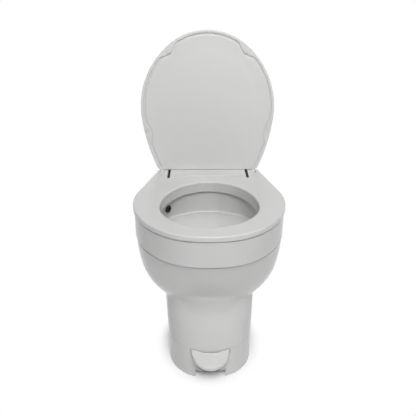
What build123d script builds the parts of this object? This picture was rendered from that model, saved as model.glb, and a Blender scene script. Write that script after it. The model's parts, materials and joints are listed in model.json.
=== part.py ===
from build123d import *
import os
from math import acos, atan2, cos, degrees, hypot, pi, radians, sin, sqrt, tan

# A foot-pedal flush toilet for a caravan or motorhome, in millimetres.
# The origin lies on the floor at the axis of the drain outlet. The front is -Y and +Z is up.
# The lid stands open and the seat lies down, as the toilet is most often shown.

# Plan outline of the seat: three tangent arcs from the front tip round to a straight rear flank.
outline_front = 170.9
nose_radius = 304.0
nose_deg = 5.75
corner_radius = 157.2
corner_deg = 43.6
flank_radius = 222.8
flank_deg = 103.5

# Seat ring
seat_top = 411.6
seat_thickness = 13.0
seat_rear = 250.0
seat_edge_round = 3.2
seat_hole_half_width = 122.5
seat_hole_front = 122.7
seat_hole_rear = 151.3
seat_hole_centre = -3.0
seat_hole_round = 4.0
seat_skirt_depth = 30.0
seat_skirt_wall = 4.0
seat_rear_round = 5.0
seat_notch_side = 7.0
seat_notch_front = 2.8

# Hinge of the seat and the lid
hinge_y = 229.0
hinge_drop = 11.6
hinge_pin_radius = 4.0
knuckle_radius = 9.0
seat_knuckle_width = 12.0
lid_knuckle_width = 11.0
knuckle_gap = 0.5
lid_open_deg = 97.0

# Hinge block between the rear ears of the seat
block_half_width = 109.0
block_front_corner = 184.0
block_front_middle = 198.0
block_rear = 262.0
block_rise = 0.5
block_round = 2.0
pin_hold = 16.0
spacer_radius = 6.6
block_screw_shares = (0.22, 0.6)

# Lid
lid_standoff = 14.0
lid_thickness = 16.0
lid_wall = 3.0
lid_inset = 2.6
lid_rear_setback = 16.5
lid_rear_round = 8.0
lid_edge_round = 7.0
lid_lip = 6.2
lid_groove = 3.2
liner_setback = 2.2
liner_thickness = 2.6
lid_post_radius = 6.0
post_width_shares = (0.7, 0.8)
land_radius = 38.0
land_front_x = 126.0
land_front_y = 139.5
land_rear_x = 199.0
land_rear_y = 110.0
bumper_pull = 31.0
bumper_gap = 0.3
lid_bumper_radius = 5.5
seat_bumper_radius = 7.0
seat_bumper_front_x = 98.0
seat_bumper_front_y = 112.0
seat_bumper_rear_x = 157.0
seat_bumper_rear_y = 70.0

# Rim of the bowl
rim_gap = 2.6
rim_bottom = 331.0
rim_inset = 2.6
rim_wall = 4.0
rim_deck = 5.0
rim_edge_round = 3.0
rim_rear = 262.0
rim_skirt_gap = 2.5
rear_deck_drop = 24.0
rear_deck_front = 203.0
ledge_drop = 11.0
rim_foot_growth = 5.0

# Outer shell of the bowl
shell_inset = 4.3
shell_front_inset = 5.4
shell_rear_step = 2.0
shell_centre = 38.0
shell_wall = 4.0
shell_foot_rise = 3.4
shell_level_shares = (0.0, 0.117, 0.234, 0.363, 0.526, 0.702, 0.865, 1.0)
shell_width_shares = (0.588, 0.706, 0.799, 0.877, 0.935, 0.970, 0.991, 1.0)
shell_front_shares = (0.495, 0.574, 0.644, 0.716, 0.804, 0.891, 0.952, 1.0)
shell_rear_shares = (0.624, 0.690, 0.751, 0.812, 0.883, 0.944, 0.983, 1.0)
shell_centre_shares = (0.34, 0.42, 0.47, 0.52, 0.62, 0.76, 0.89, 1.0)
front_roundness = 2.1
shell_rear_roundness = 2.3

# Inner basin, from the ledge down to the throat
basin_side_room = 38.0
basin_front_room = 23.5
basin_rear_room = 53.0
basin_centre = 5.0
basin_wall = 4.0
basin_flange_width = 12.0
basin_flange_thickness = 4.0
basin_level_shares = (0.10, 0.25, 0.50, 0.76, 1.0)
basin_width_shares = (0.36, 0.56, 0.77, 0.925, 1.0)
basin_front_shares = (0.37, 0.54, 0.74, 0.915, 1.0)
basin_rear_shares = (0.36, 0.55, 0.775, 0.935, 1.0)
throat_radius = 38.0

# Column and plinth of the pedestal
seam_height = 74.0
seam_groove = 1.2
column_lap = 55.0
column_wall = 4.0
column_half_width = 109.0
column_front = 147.0
column_rear = 120.0
column_centre = -46.0
column_rear_roundness = 5.0
column_level_shares = (0.0, 0.18, 0.40, 0.61, 0.79, 1.0)
column_width_shares = (1.0, 1.017, 1.032, 1.050, 1.067, 1.094)
column_front_shares = (1.0, 0.946, 0.871, 0.789, 0.738, 0.680)
column_centre_shares = (1.0, 0.87, 0.72, 0.48, 0.32, 0.22)
plinth_level_shares = (0.0, 0.54, 1.0)
plinth_width_shares = (0.993, 0.995, 1.0)
plinth_front_shares = (1.092, 1.048, 1.0)
plinth_centre_shares = (1.13, 1.08, 1.0)
plate_height = 10.0
plate_thickness = 6.0
cutout_half_width = 38.0
cutout_height = 19.0
plate_front = 98.0
plate_cut_half_width = 42.0
bolt_spacing = 152.4
bolt_slot_radius = 4.5
bolt_slot_length = 20.0

# Flush ball, its seal and the housing
ball_height = 109.0
ball_radius = 56.0
ball_wall = 5.0
ball_cap_deg = 50.0
ear_half_width = 13.0
ear_boss_radius = 12.0
ear_boss_length = 13.0
seal_contact_radius = 38.0
seal_thickness = 5.0
seal_gap = 0.3
housing_radius = 66.0
housing_wall = 6.0
housing_bottom = 44.0
housing_mouth_radius = 52.0
flange_radius = 74.0
flange_thickness = 6.0
shaft_boss_radius = 14.0
shaft_boss_length = 5.0
shaft_radius = 6.0
bushing_wall = 3.0
bushing_flange = 2.0
bushing_flange_width = 3.0
run_clearance = 0.05
fit_clearance = 0.02
side_gap = 0.5
clamp_wall = 5.0
clamp_lip = 3.0
clamp_lip_width = 9.0
clamp_split = 1.0
clamp_ear_length = 12.0
clamp_ear_width = 8.0
clamp_ear_height = 13.0
clamp_screw_radius = 2.5

# Outlet and floor seal
outlet_radius = 38.0
outlet_wall = 6.0
outlet_foot = 0.0
outlet_flange_radius = 62.0
outlet_flange_thickness = 6.0
outlet_screw_circle = 56.0
outlet_screw_radius = 2.0
outlet_screw_length = 12.0
outlet_screw_count = 6
floor_seal_radius = 62.0
floor_seal_lift = 1.0

# Pedal, its shaft and the gears
gear_module = 2.5
pinion_teeth = 16
sector_teeth = 64
sector_travel_teeth = 4
gear_width = 8.0
pressure_deg = 20.0
backlash = 0.25
dedendum_factor = 1.25
tip_factor = 0.9
pedal_y = 80.0
pedal_shaft_radius = 5.0
pedal_hub_radius = 10.0
pedal_half_width = 47.5
pedal_reach = 43.0
pedal_root_y = 136.0
pedal_slope_deg = 15.6
pedal_lip = 10.5
pedal_wall = 4.5
pedal_wall_gap = 2.5
pedal_edge_round = 2.5
arm_half_width = 10.0
arm_depth = 11.0
arm_slot_half_width = 20.0
pocket_depth = 6.0
pocket_margin = 2.2
pedal_swing_gap = 0.8
bracket_width = 6.0
bracket_reach = 11.0
bracket_gap = 12.0
spring_lever_x = 52.0
spring_lever_width = 12.0
spring_y = 104.0
spring_radius = 6.5
spring_wire = 1.0
spring_turns = 6
spring_cup_radius = 9.0
spring_cup_depth = 3.0
clip_thickness = 1.2
clip_width = 3.0

# Water valve, driven by a spiral cam on the ball's idle side
cam_width = 8.0
cam_low = 16.0
cam_lift = 9.6
cam_gap = 0.3
cam_points = 7
plunger_radius = 4.0
plunger_length = 40.0
valve_radius = 15.0
valve_front = 44.0
valve_length = 50.0
valve_bore_radius = 7.0
valve_outlet_share = 0.64
valve_nose_radius = 8.0
inlet_radius = 8.0
inlet_bore_radius = 5.5
inlet_reach = 134.0
inlet_flange_radius = 10.2
inlet_flange_length = 2.0
nut_across_flats = 27.0
nut_back = 3.0
nut_length = 20.0
nut_thread_radius = 10.5
nut_relief_radius = 11.2
nut_relief_length = 3.0
grommet_width = 4.0
grommet_lip = 3.0
inlet_boss_radius = 18.0
inlet_boss_rise = 2.0

# Anti-siphon breaker, hoses and the spray nozzle
hose_radius = 7.5
hose_bore_radius = 5.2
barb_bore_radius = 3.4
barb_length = 10.0
bend_share = 0.45
breaker_inset = 14.0
breaker_setback = 24.0
breaker_radius = 16.0
breaker_wall = 3.0
breaker_height = 49.0
breaker_cap_radius = 18.0
breaker_cap_height = 14.0
float_radius = 11.0
float_height = 9.0
float_travel = 6.0
breaker_outlet_deg = 75.0
nozzle_rise = 34.0
nozzle_turn_deg = 39.0
nozzle_bore_radius = 4.0
nozzle_face_radius = 10.0
nozzle_face_thickness = 4.0
hose_clamp_width = 7.0
hose_clamp_wall = 1.2
hose_rise = 30.0
hose_run_in = 30.0
hose_run_out = 24.0
lower_hose_route = (
    (90.0, 96.0, 212.0),
    (108.0, 124.0, 270.0),
    (104.0, 146.0, 322.0),
)
upper_hose_route = ((146.0, 165.0, 352.0),)
overrun = 1.0
half_turn_deg = 180.0
quarter_turn_deg = 90.0

# Places worked out from the sizes above
hinge_height = seat_top - hinge_drop
seat_bottom = seat_top - seat_thickness
rim_top = seat_bottom - rim_gap
rear_deck_top = rim_top - rear_deck_drop
ledge_height = rim_bottom - ledge_drop
nose_step = (nose_radius - corner_radius) * sin(radians(nose_deg))
corner_step = (corner_radius - flank_radius) * sin(radians(corner_deg))
outline_half_width = nose_step + corner_step + flank_radius
shell_half_width = outline_half_width - shell_inset
shell_front = outline_front - shell_front_inset
shell_rear = rear_deck_front + shell_rear_step
basin_half_width = shell_half_width - basin_side_room
basin_front = shell_front - basin_front_room
basin_rear = shell_rear - basin_rear_room
breaker_x = block_half_width - breaker_inset
breaker_y = rear_deck_front + breaker_setback
breaker_bottom = rear_deck_top - rim_deck - breaker_height
nozzle_height = ledge_height + nozzle_rise
inlet_boss_face = column_rear + inlet_boss_rise
lid_plane = hinge_height + lid_standoff
lid_top = lid_plane + lid_thickness
lid_rear = hinge_y - lid_rear_setback
block_top = seat_top + block_rise
seat_notch_half = block_half_width + seat_notch_side
plate_top = plate_height + plate_thickness
seal_seat = ball_height + sqrt(ball_radius**2 - seal_contact_radius**2)
housing_top = seal_seat - seal_thickness / 2
basin_foot = housing_top + seal_thickness
basin_neck = basin_foot + basin_flange_thickness
shell_bottom = basin_neck + shell_foot_rise
column_top = shell_bottom + column_lap
ear_outer = sqrt(ball_radius**2 - ear_half_width**2)
bushing_outer = shaft_radius + bushing_wall
bushing_end = housing_radius + shaft_boss_length + bushing_flange
gear_start = bushing_end + side_gap
gear_end = gear_start + gear_width
pinion_pitch = gear_module * pinion_teeth / 2
sector_pitch = gear_module * sector_teeth / 2
pedal_height = ball_height - sqrt((pinion_pitch + sector_pitch) ** 2 - pedal_y**2)
mesh_deg = degrees(atan2(ball_height - pedal_height, pedal_y))
gear_ratio = sector_teeth / pinion_teeth
pedal_travel_deg = 360 * sector_travel_teeth / sector_teeth
ball_travel_deg = gear_ratio * pedal_travel_deg
clip_inner = pedal_shaft_radius + fit_clearance


def block(low, high):
    """A box between two opposite corners."""
    size = [b - a for a, b in zip(low, high)]
    middle = [(a + b) / 2 for a, b in zip(low, high)]
    return Pos(*middle) * Box(*size)


def rod(start, end, radius):
    """A round bar from one point to another."""
    along = Vector(*end) - Vector(*start)
    return Solid.make_cylinder(radius, along.length, Plane(origin=start, z_dir=along))


def sleeve(start, end, outer, inner):
    """A tube between two points."""
    return rod(start, end, outer) - rod(start, end, inner)


def mirror_pair(piece):
    """A piece and its twin on the other side of the middle plane."""
    return [piece, piece.mirror(Plane.YZ)]


def egg_quarter(half_width, reach, centre, roundness, height, points=6):
    """One quarter of a superellipse, from the side towards the tip at the signed reach."""
    depth = reach - centre
    turns = [pi / 2 * step / points for step in range(points + 1)]
    places = []
    for turn in turns:
        x = half_width * abs(cos(turn)) ** (2 / roundness) if turn < pi / 2 else 0
        y = centre + depth * sin(turn) ** (2 / roundness)
        places.append((x, y, height))
    return Spline(*places, tangents=[(0, depth / abs(depth)), (-1, 0)])


def egg_wire(half_width, front, rear, centre, height, front_power, rear_power):
    """A closed egg outline: its front lies at y = -front and its rear at y = rear."""
    rear_right = egg_quarter(half_width, rear, centre, rear_power, height)
    front_right = egg_quarter(half_width, -front, centre, front_power, height)
    halves = [rear_right, front_right]
    edges = halves + [edge.mirror(Plane.YZ) for edge in halves]
    return Wire(edges)


def egg_loft(levels, widths, fronts, rears, centres, inset, front_power, rear_power):
    """A solid through egg outlines, each drawn in by the inset."""
    wires = [
        egg_wire(w - inset, f - inset, r - inset, c, z, front_power, rear_power)
        for z, w, f, r, c in zip(levels, widths, fronts, rears, centres)
    ]
    return Solid.make_loft(wires)


def shares_of(size, shares):
    """Each share of one size."""
    return [size * share for share in shares]


def outline_face(inset, rear, corner_round=0.0):
    """The seat's plan outline, drawn in by the inset and closed straight across at the rear."""
    first = (0.0, nose_radius - outline_front)
    arcs = [(first, nose_radius, 0.0, nose_deg)]
    radii = [(nose_radius, corner_radius, nose_deg), (corner_radius, flank_radius, corner_deg)]
    stops = [(corner_radius, nose_deg, corner_deg), (flank_radius, corner_deg, flank_deg)]
    centre = first
    for (old, new, turn), (radius, start, stop) in zip(radii, stops):
        step = old - new
        centre = (centre[0] + step * sin(radians(turn)), centre[1] - step * cos(radians(turn)))
        arcs.append((centre, radius, start, stop))
    edges = []
    for (cx, cy), radius, start, stop in arcs:
        reach = radius - inset
        turns = [start, (start + stop) / 2, stop]
        points = [(cx + reach * sin(radians(t)), cy - reach * cos(radians(t))) for t in turns]
        edges.append(ThreePointArc(*points))
    x, y = points[-1]
    corner_x = x + (rear - y) / tan(radians(flank_deg))
    edges.append(Line((x, y), (corner_x, rear)))
    mirrored = [edge.mirror(Plane.YZ) for edge in edges]
    face = make_face(edges + mirrored + [Line((corner_x, rear), (-corner_x, rear))])
    if corner_round > 0:
        corners = face.vertices().filter_by(lambda v: abs(v.Y - rear) < fit_clearance)
        face = fillet(corners, corner_round)
    return face


def prism(face, low, high):
    """A plan face pulled up between two heights."""
    return extrude(Pos(0, 0, low) * face, high - low)


def side_prism(points, x_low, x_high):
    """An outline of (y, z) points pulled along X."""
    wire = Polyline(*[(x_low, y, z) for y, z in points], close=True)
    return extrude(make_face(wire), x_high - x_low, dir=(1, 0, 0))


def tip_open(piece):
    """Turn a lid piece from its closed place to its open one."""
    hinge = Axis((0, hinge_y, hinge_height), (1, 0, 0))
    return piece.rotate(hinge, -lid_open_deg)


def seat_hole_wire(growth, height):
    """The opening in the seat, grown outwards."""
    return egg_wire(
        seat_hole_half_width + growth,
        seat_hole_front + growth,
        seat_hole_rear + growth,
        seat_hole_centre,
        height,
        2.0,
        2.0,
    )


def seat_hole_prism(growth, low, high):
    """A straight plug of the seat opening."""
    return prism(Face(seat_hole_wire(growth, 0)), low, high)


def front_arch(setback, low, high):
    """The space behind the hinge block's bowed front edge."""
    corner = block_front_corner - setback
    middle = block_front_middle - setback
    width = block_half_width
    arc = ThreePointArc((-width, corner), (0, middle), (width, corner))
    rear = block_rear
    sides = Polyline((width, corner), (width, rear), (-width, rear), (-width, corner))
    return prism(make_face([arc, sides]), low, high)


def make_seat():
    """The seat ring with its inner skirt, hinge notch, knuckles and lid-lug slots."""
    ring = prism(outline_face(0, seat_rear, seat_rear_round), seat_bottom, seat_top)
    ring = fillet(ring.faces().sort_by(Axis.Z)[-1].edges(), seat_edge_round)
    skirt_low = seat_top - seat_skirt_depth
    ring += seat_hole_prism(seat_skirt_wall, skirt_low, seat_bottom + overrun)
    ring -= seat_hole_prism(0, skirt_low - overrun, seat_top + overrun)
    hole_edge = ring.edges().group_by(Axis.Z)[-1].filter_by(
        lambda e: hypot(e.center().X, e.center().Y) < seat_hole_rear + seat_skirt_wall
    )
    ring = fillet(hole_edge, seat_hole_round)
    notch_corner = block_front_corner - seat_hole_round
    low, high = seat_bottom - knuckle_radius, seat_top + overrun
    ring -= block((-seat_notch_half, block_front_middle, low), (seat_notch_half, block_rear, high))
    ring -= front_arch(seat_notch_front, low, high)
    for side in mirror_pair(
        block((block_half_width, notch_corner, low), (seat_notch_half, block_rear, high))
    ):
        ring -= side
    knuckle_end = seat_notch_half + seat_knuckle_width
    lug_end = knuckle_end + knuckle_gap + lid_knuckle_width + knuckle_gap
    slot_front = hinge_y - knuckle_radius - knuckle_gap * 3
    for side in mirror_pair(
        block((knuckle_end, slot_front, low), (lug_end, block_rear, high))
    ):
        ring -= side
    axle = (hinge_y, hinge_height)
    for side in mirror_pair(
        rod((seat_notch_half, *axle), (knuckle_end, *axle), knuckle_radius)
    ):
        ring += side
    bore = hinge_pin_radius + run_clearance
    ring -= rod((-lug_end, *axle), (lug_end, *axle), bore)
    return ring


def make_seat_bumpers():
    """Four soft pads under the seat that rest on the rim."""
    spots = [
        (seat_bumper_front_x, -seat_bumper_front_y),
        (seat_bumper_rear_x, seat_bumper_rear_y),
    ]
    pads = []
    for x, y in spots:
        low = (x, y, rim_top + bumper_gap)
        pads += mirror_pair(rod(low, (x, y, seat_bottom), seat_bumper_radius))
    return pads


def land_spots():
    """Where the lid's lip widens to carry its bumpers."""
    right = [(land_front_x, -land_front_y), (land_rear_x, land_rear_y)]
    return [(side * x, y) for x, y in right for side in (1, -1)]


def bumper_spots():
    """The lid bumpers' places, drawn in from the lands to stand over the seat ring."""
    spots = []
    for x, y in land_spots():
        keep = 1 - bumper_pull / hypot(x, y)
        spots.append((x * keep, y * keep))
    return spots


def lid_inner_face(inset, rear_inset):
    """The hollow of the lid inside its lip and its four lands."""
    face = outline_face(lid_inset + inset, lid_rear - rear_inset, lid_rear_round)
    for x, y in land_spots():
        face -= Pos(x, y) * Circle(land_radius + inset - lid_lip)
    return face


def make_lid():
    """The lid shell with its lip, posts and hinge lugs, built closed."""
    shell = prism(outline_face(lid_inset, lid_rear, lid_rear_round), lid_plane, lid_top)
    shell = fillet(shell.faces().sort_by(Axis.Z)[-1].edges(), lid_edge_round)
    inside = lid_inner_face(lid_lip, lid_wall)
    shell -= prism(inside, lid_plane - overrun, lid_top - lid_wall)
    liner_back = lid_plane + liner_setback + liner_thickness
    for x, y in lid_post_spots():
        shell += rod((x, y, liner_back), (x, y, lid_top - lid_wall / 2), lid_post_radius)
    knuckle_start = seat_notch_half + seat_knuckle_width + knuckle_gap
    knuckle_stop = knuckle_start + lid_knuckle_width
    arm_rear = hinge_y + knuckle_radius
    arm_low = hinge_height
    wrist = lid_plane + housing_wall
    lug_points = [
        (hinge_y - knuckle_radius, arm_low),
        (hinge_y - knuckle_radius, lid_plane),
        (lid_rear - lid_wall, lid_plane),
        (lid_rear - lid_wall, wrist),
        (hinge_y, wrist),
        (arm_rear, lid_plane),
        (arm_rear, arm_low),
    ]
    lug = side_prism(lug_points, knuckle_start, knuckle_stop)
    axle = (hinge_y, hinge_height)
    lug += rod((knuckle_start, *axle), (knuckle_stop, *axle), knuckle_radius)
    lug -= rod((knuckle_start, *axle), (knuckle_stop, *axle), hinge_pin_radius + run_clearance)
    for side in mirror_pair(lug):
        shell += side
    return tip_open(shell)


def lid_post_spots():
    """Posts inside the lid that carry its liner."""
    x, front, rear = seat_hole_half_width, seat_hole_front / 2, seat_hole_rear
    places = zip(post_width_shares, (-front, rear))
    return [(side * x * share, y) for share, y in places for side in (1, -1)]


def make_lid_liner():
    """The inner panel of the lid, set in from the lip by a groove."""
    face = lid_inner_face(lid_lip + lid_groove, lid_wall + bumper_gap)
    low = lid_plane + liner_setback
    panel = prism(face, low, low + liner_thickness)
    return tip_open(panel)


def make_lid_bumpers():
    """Soft pads on the lid's lands that meet the seat when the lid is shut."""
    low = seat_top + bumper_gap
    pads = [rod((x, y, low), (x, y, lid_plane), lid_bumper_radius) for x, y in bumper_spots()]
    return [tip_open(pad) for pad in pads]


def make_hinge_block():
    """The fixed block that holds the hinge pins behind the bowl opening."""
    body = front_arch(0, rim_top, block_top)
    body = body & block(
        (-block_half_width, block_front_corner - overrun, rim_top),
        (block_half_width, block_rear, block_top),
    )
    body = fillet(body.faces().sort_by(Axis.Z)[-1].edges(), block_round)
    body += block(
        (-block_half_width, rear_deck_front + fit_clearance, rear_deck_top),
        (block_half_width, block_rear, rim_top + overrun),
    )
    axle = (hinge_y, hinge_height)
    for side in mirror_pair(
        rod((block_half_width - pin_hold, *axle), (block_half_width + overrun, *axle), hinge_pin_radius)
    ):
        body -= side
    for screw in make_hinge_screws():
        body -= screw
    return body


def make_hinge_pins():
    """Two pins that stick out of the block through the seat and lid knuckles."""
    start = block_half_width - pin_hold
    end = seat_notch_half + seat_knuckle_width + lid_knuckle_width + knuckle_gap * 2
    axle = (hinge_y, hinge_height)
    return mirror_pair(rod((start, *axle), (end, *axle), hinge_pin_radius))


def make_hinge_spacers():
    """Sleeves on the pins that fill the slots beside the block."""
    axle = (hinge_y, hinge_height)
    end = seat_notch_half - bumper_gap
    inner = hinge_pin_radius + fit_clearance
    return mirror_pair(sleeve((block_half_width, *axle), (end, *axle), spacer_radius, inner))


def make_hinge_screws():
    """Screws from below the rear deck into the block."""
    screws = []
    head_low = rear_deck_top - rim_deck - clamp_lip
    for share in block_screw_shares:
        x = block_half_width * share
        y = (rear_deck_front + block_rear) / 2
        shank = rod((x, y, head_low), (x, y, rear_deck_top + pin_hold), clamp_screw_radius)
        head = rod((x, y, head_low), (x, y, rear_deck_top - rim_deck), clamp_screw_radius * 2)
        screws += mirror_pair(shank + head)
    return screws


def rim_inner_loft(growth):
    """The rim's inner wall, from the seat opening out to the ledge."""
    top = seat_skirt_wall + rim_skirt_gap + growth
    foot = rim_foot_growth + growth
    low, high = ledge_height, rim_top
    top_wire = seat_hole_wire(top, high)
    foot_wire = egg_wire(
        basin_half_width + foot,
        basin_front + foot,
        basin_rear + foot,
        basin_centre,
        low,
        2.0,
        2.0,
    )
    return Solid.make_loft([foot_wire, top_wire])


def make_rim():
    """The collar round the bowl with its deck, inner wall and lowered rear deck."""
    body = prism(outline_face(rim_inset, rim_rear, seat_rear_round), rim_bottom, rim_top)
    body = fillet(body.faces().sort_by(Axis.Z)[-1].edges(), rim_edge_round)
    hollow = outline_face(rim_inset + rim_wall, rim_rear - rim_wall)
    front_space = prism(hollow, rim_bottom - overrun, rim_top - rim_deck)
    rear_cut = rear_deck_front - rim_deck
    reach = shell_half_width + rim_wall
    step_space = block(
        (-reach, rear_cut, rear_deck_top - rim_deck), (reach, rim_rear, rim_top)
    )
    body -= front_space - step_space
    body -= block((-reach, rear_deck_front, rear_deck_top), (reach, rim_rear + overrun, rim_top + overrun))
    body += rim_inner_loft(rim_wall)
    plug = rim_inner_loft(0)
    body -= plug
    body -= nozzle_rod(nozzle_body_radius() + fit_clearance, -nozzle_face_thickness, rim_wall * 4)
    for screw in make_hinge_screws():
        body -= screw
    return body


def shell_loft(inset):
    """The bowl's outer form, drawn in by the inset."""
    height = rim_bottom - shell_bottom
    return egg_loft(
        [shell_bottom + height * share for share in shell_level_shares],
        shares_of(shell_half_width, shell_width_shares),
        shares_of(shell_front, shell_front_shares),
        shares_of(shell_rear, shell_rear_shares),
        shares_of(shell_centre, shell_centre_shares),
        inset,
        front_roundness,
        shell_rear_roundness,
    )


def make_shell():
    """The visible outer wall of the bowl."""
    return shell_loft(0) - shell_loft(shell_wall)


def basin_loft(growth):
    """The basin's form above its throat, grown outwards."""
    height = ledge_height - basin_neck
    levels = [basin_neck + height * share for share in basin_level_shares]
    widths = shares_of(basin_half_width, basin_width_shares)
    fronts = shares_of(basin_front, basin_front_shares)
    rears = shares_of(basin_rear, basin_rear_shares)
    centres = [basin_centre * share for share in basin_level_shares]
    neck = throat_radius + overrun + growth
    wires = [egg_wire(neck, neck, neck, 0, basin_neck, 2.0, 2.0)]
    for z, w, f, r, c in zip(levels, widths, fronts, rears, centres):
        wires.append(egg_wire(w + growth, f + growth, r + growth, c, z, 2.0, 2.0))
    return Solid.make_loft(wires)


def make_basin():
    """The inner bowl with its ledge flange above and its throat flange below."""
    body = basin_loft(basin_wall)
    ledge = egg_wire(
        basin_half_width + basin_flange_width,
        basin_front + basin_flange_width,
        basin_rear + basin_flange_width,
        basin_centre,
        ledge_height - basin_flange_thickness,
        2.0,
        2.0,
    )
    body += extrude(Face(ledge), basin_flange_thickness)
    body += rod((0, 0, basin_foot), (0, 0, basin_neck), flange_radius)
    body -= basin_loft(0)
    body -= rod((0, 0, basin_foot - overrun), (0, 0, basin_neck + overrun), throat_radius)
    return body


def column_loft(inset):
    """The pedestal above the seam, drawn in by the inset."""
    height = column_top - seam_height
    return egg_loft(
        [seam_height + height * share for share in column_level_shares],
        shares_of(column_half_width, column_width_shares),
        shares_of(column_front, column_front_shares),
        [column_rear] * len(column_level_shares),
        shares_of(column_centre, column_centre_shares),
        inset,
        front_roundness,
        column_rear_roundness,
    )


def plinth_loft(inset):
    """The pedestal below the seam, drawn in by the inset."""
    return egg_loft(
        shares_of(seam_height, plinth_level_shares),
        shares_of(column_half_width, plinth_width_shares),
        shares_of(column_front, plinth_front_shares),
        [column_rear] * len(plinth_level_shares),
        shares_of(column_centre, plinth_centre_shares),
        inset,
        front_roundness,
        column_rear_roundness,
    )


def make_column():
    """The upper pedestal, cut to fit round the underside of the bowl."""
    axis_x = -cam_middle()
    boss = rod((axis_x, 0, ball_height), (axis_x, inlet_boss_face, ball_height), inlet_boss_radius)
    body = column_loft(0) + boss
    body -= column_loft(column_wall)
    body -= shell_loft(0)
    reach = column_front + column_rear
    body -= (column_loft(-overrun) - column_loft(seam_groove)) & block(
        (-reach, -reach, seam_height - overrun), (reach, reach, seam_height + seam_groove)
    )
    port_end = inlet_boss_face + overrun
    body -= rod((axis_x, 0, ball_height), (axis_x, port_end, ball_height), grommet_radius())
    return max(body.solids(), key=lambda solid: solid.volume)


def pedal_front_face(growth):
    """The pedal's half-oval as it is seen from the front, grown outwards."""
    half = pedal_half_width + growth
    drop = seam_height - cutout_height
    arc = EllipticalCenterArc((0, 0), half, drop, half_turn_deg, arc_size=half_turn_deg)
    return make_face([arc, Line((half, 0), (-half, 0))])


def pedal_pocket(growth, front, rear):
    """The pedal's half-oval pulled along Y."""
    face = Plane(origin=(0, -rear, seam_height - growth), x_dir=(1, 0, 0), z_dir=(0, -1, 0))
    return extrude(face * pedal_front_face(growth), front - rear)


def make_plinth():
    """The lower pedestal with its foot plate, toe cut-out and pedal pocket."""
    reach = column_front * plinth_front_shares[0] + overrun
    middle = column_front - pedal_root_y
    inner = plinth_loft(column_wall)
    body = plinth_loft(0) - inner
    backing = plinth_loft(column_wall) - plinth_loft(pocket_depth + column_wall)
    body += backing & pedal_pocket(pocket_margin + column_wall, reach, plate_front + middle)
    skin = plinth_loft(-overrun) - plinth_loft(pocket_depth)
    body -= skin & pedal_pocket(pocket_margin, reach, plate_front + middle)
    plate = plinth_loft(column_wall - fit_clearance) & block(
        (-reach, -reach, plate_height), (reach, reach, plate_top)
    )
    body += plate
    half, depth = cutout_half_width, plate_front
    body -= block((-half, -reach, -overrun), (half, -depth, cutout_height))
    body -= block((-half, plate_front, -overrun), (half, reach, cutout_height))
    wide = plate_cut_half_width
    body -= block((-wide, -column_front + column_wall, 0), (wide, -depth, plate_top + overrun))
    slot = arm_slot_half_width
    body -= block((-slot, -reach, 0), (slot, -depth, seam_height - pocket_margin))
    body -= rod((0, 0, 0), (0, 0, plate_top + overrun), outlet_radius + outlet_wall + bumper_gap)
    for side in (1, -1):
        middle_y = side * bolt_spacing / 2
        run = bolt_slot_length / 2 - bolt_slot_radius
        for end in (middle_y - run, middle_y + run):
            body -= rod((0, end, 0), (0, end, plate_top + overrun), bolt_slot_radius)
        body -= block(
            (-bolt_slot_radius, middle_y - run, 0), (bolt_slot_radius, middle_y + run, plate_top + overrun)
        )
    return body


def make_ball():
    """The spherical valve cap on two ears, with a boss on each ear for its shafts."""
    centre = Pos(0, 0, ball_height)
    globe = centre * (Sphere(ball_radius) - Sphere(ball_radius - ball_wall))
    reach = ball_radius + overrun
    cap_drop = ball_radius * cos(radians(ball_cap_deg))
    cap = globe & block((-reach, -reach, ball_height + cap_drop), (reach, reach, ball_height + reach))
    ears = globe & block(
        (-reach, -ear_half_width, ball_height - ear_half_width),
        (reach, ear_half_width, ball_height + reach),
    )
    body = cap + ears
    boss_start = ear_outer - ear_boss_length
    for side in mirror_pair(
        rod((boss_start, 0, ball_height), (ear_outer, 0, ball_height), ear_boss_radius)
    ):
        body += side
    reach_rod = rod((-reach, 0, ball_height), (reach, 0, ball_height), shaft_radius + fit_clearance)
    return body - reach_rod


def make_throat_seal():
    """The rubber ring that the ball wipes against."""
    bore = seal_contact_radius - seal_thickness / 2
    ring = sleeve((0, 0, housing_top), (0, 0, basin_foot), flange_radius, bore)
    return ring - Pos(0, 0, ball_height) * Sphere(ball_radius + seal_gap)


def make_housing():
    """The cylindrical chamber round the ball, with a boss for each shaft."""
    bottom, top = (0, 0, housing_bottom), (0, 0, housing_top)
    body = rod(bottom, top, housing_radius)
    body += rod((0, 0, housing_top - flange_thickness), top, flange_radius)
    boss_end = housing_radius + shaft_boss_length
    for side in mirror_pair(
        rod((housing_radius - housing_wall, 0, ball_height), (boss_end, 0, ball_height), shaft_boss_radius)
    ):
        body += side
    floor, mouth = (0, 0, housing_bottom + housing_wall), (0, 0, housing_top + overrun)
    body -= rod(floor, mouth, housing_radius - housing_wall)
    body -= rod((0, 0, housing_bottom - overrun), (0, 0, housing_top), housing_mouth_radius)
    bore = bushing_outer + fit_clearance
    body -= rod((-boss_end - overrun, 0, ball_height), (boss_end + overrun, 0, ball_height), bore)
    for screw in make_outlet_screws():
        body -= screw
    return body


def make_bushings():
    """Flanged bushings that carry the ball's shafts."""
    inner_end = housing_radius - housing_wall
    boss_end = housing_radius + shaft_boss_length
    body = rod((inner_end, 0, ball_height), (boss_end, 0, ball_height), bushing_outer)
    rim = bushing_outer + bushing_flange_width
    body += rod((boss_end, 0, ball_height), (bushing_end, 0, ball_height), rim)
    body -= rod((inner_end, 0, ball_height), (bushing_end, 0, ball_height), shaft_radius + run_clearance)
    return mirror_pair(body)


def ball_shaft(side):
    """One stub shaft, from the ear's boss out past the gear or the cam."""
    start = side * (ear_outer - ear_boss_length)
    end = side * (gear_end + clip_width)
    return rod((start, 0, ball_height), (end, 0, ball_height), shaft_radius)


def involute(angle):
    """The involute of a pressure angle in radians."""
    return tan(angle) - angle


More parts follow.
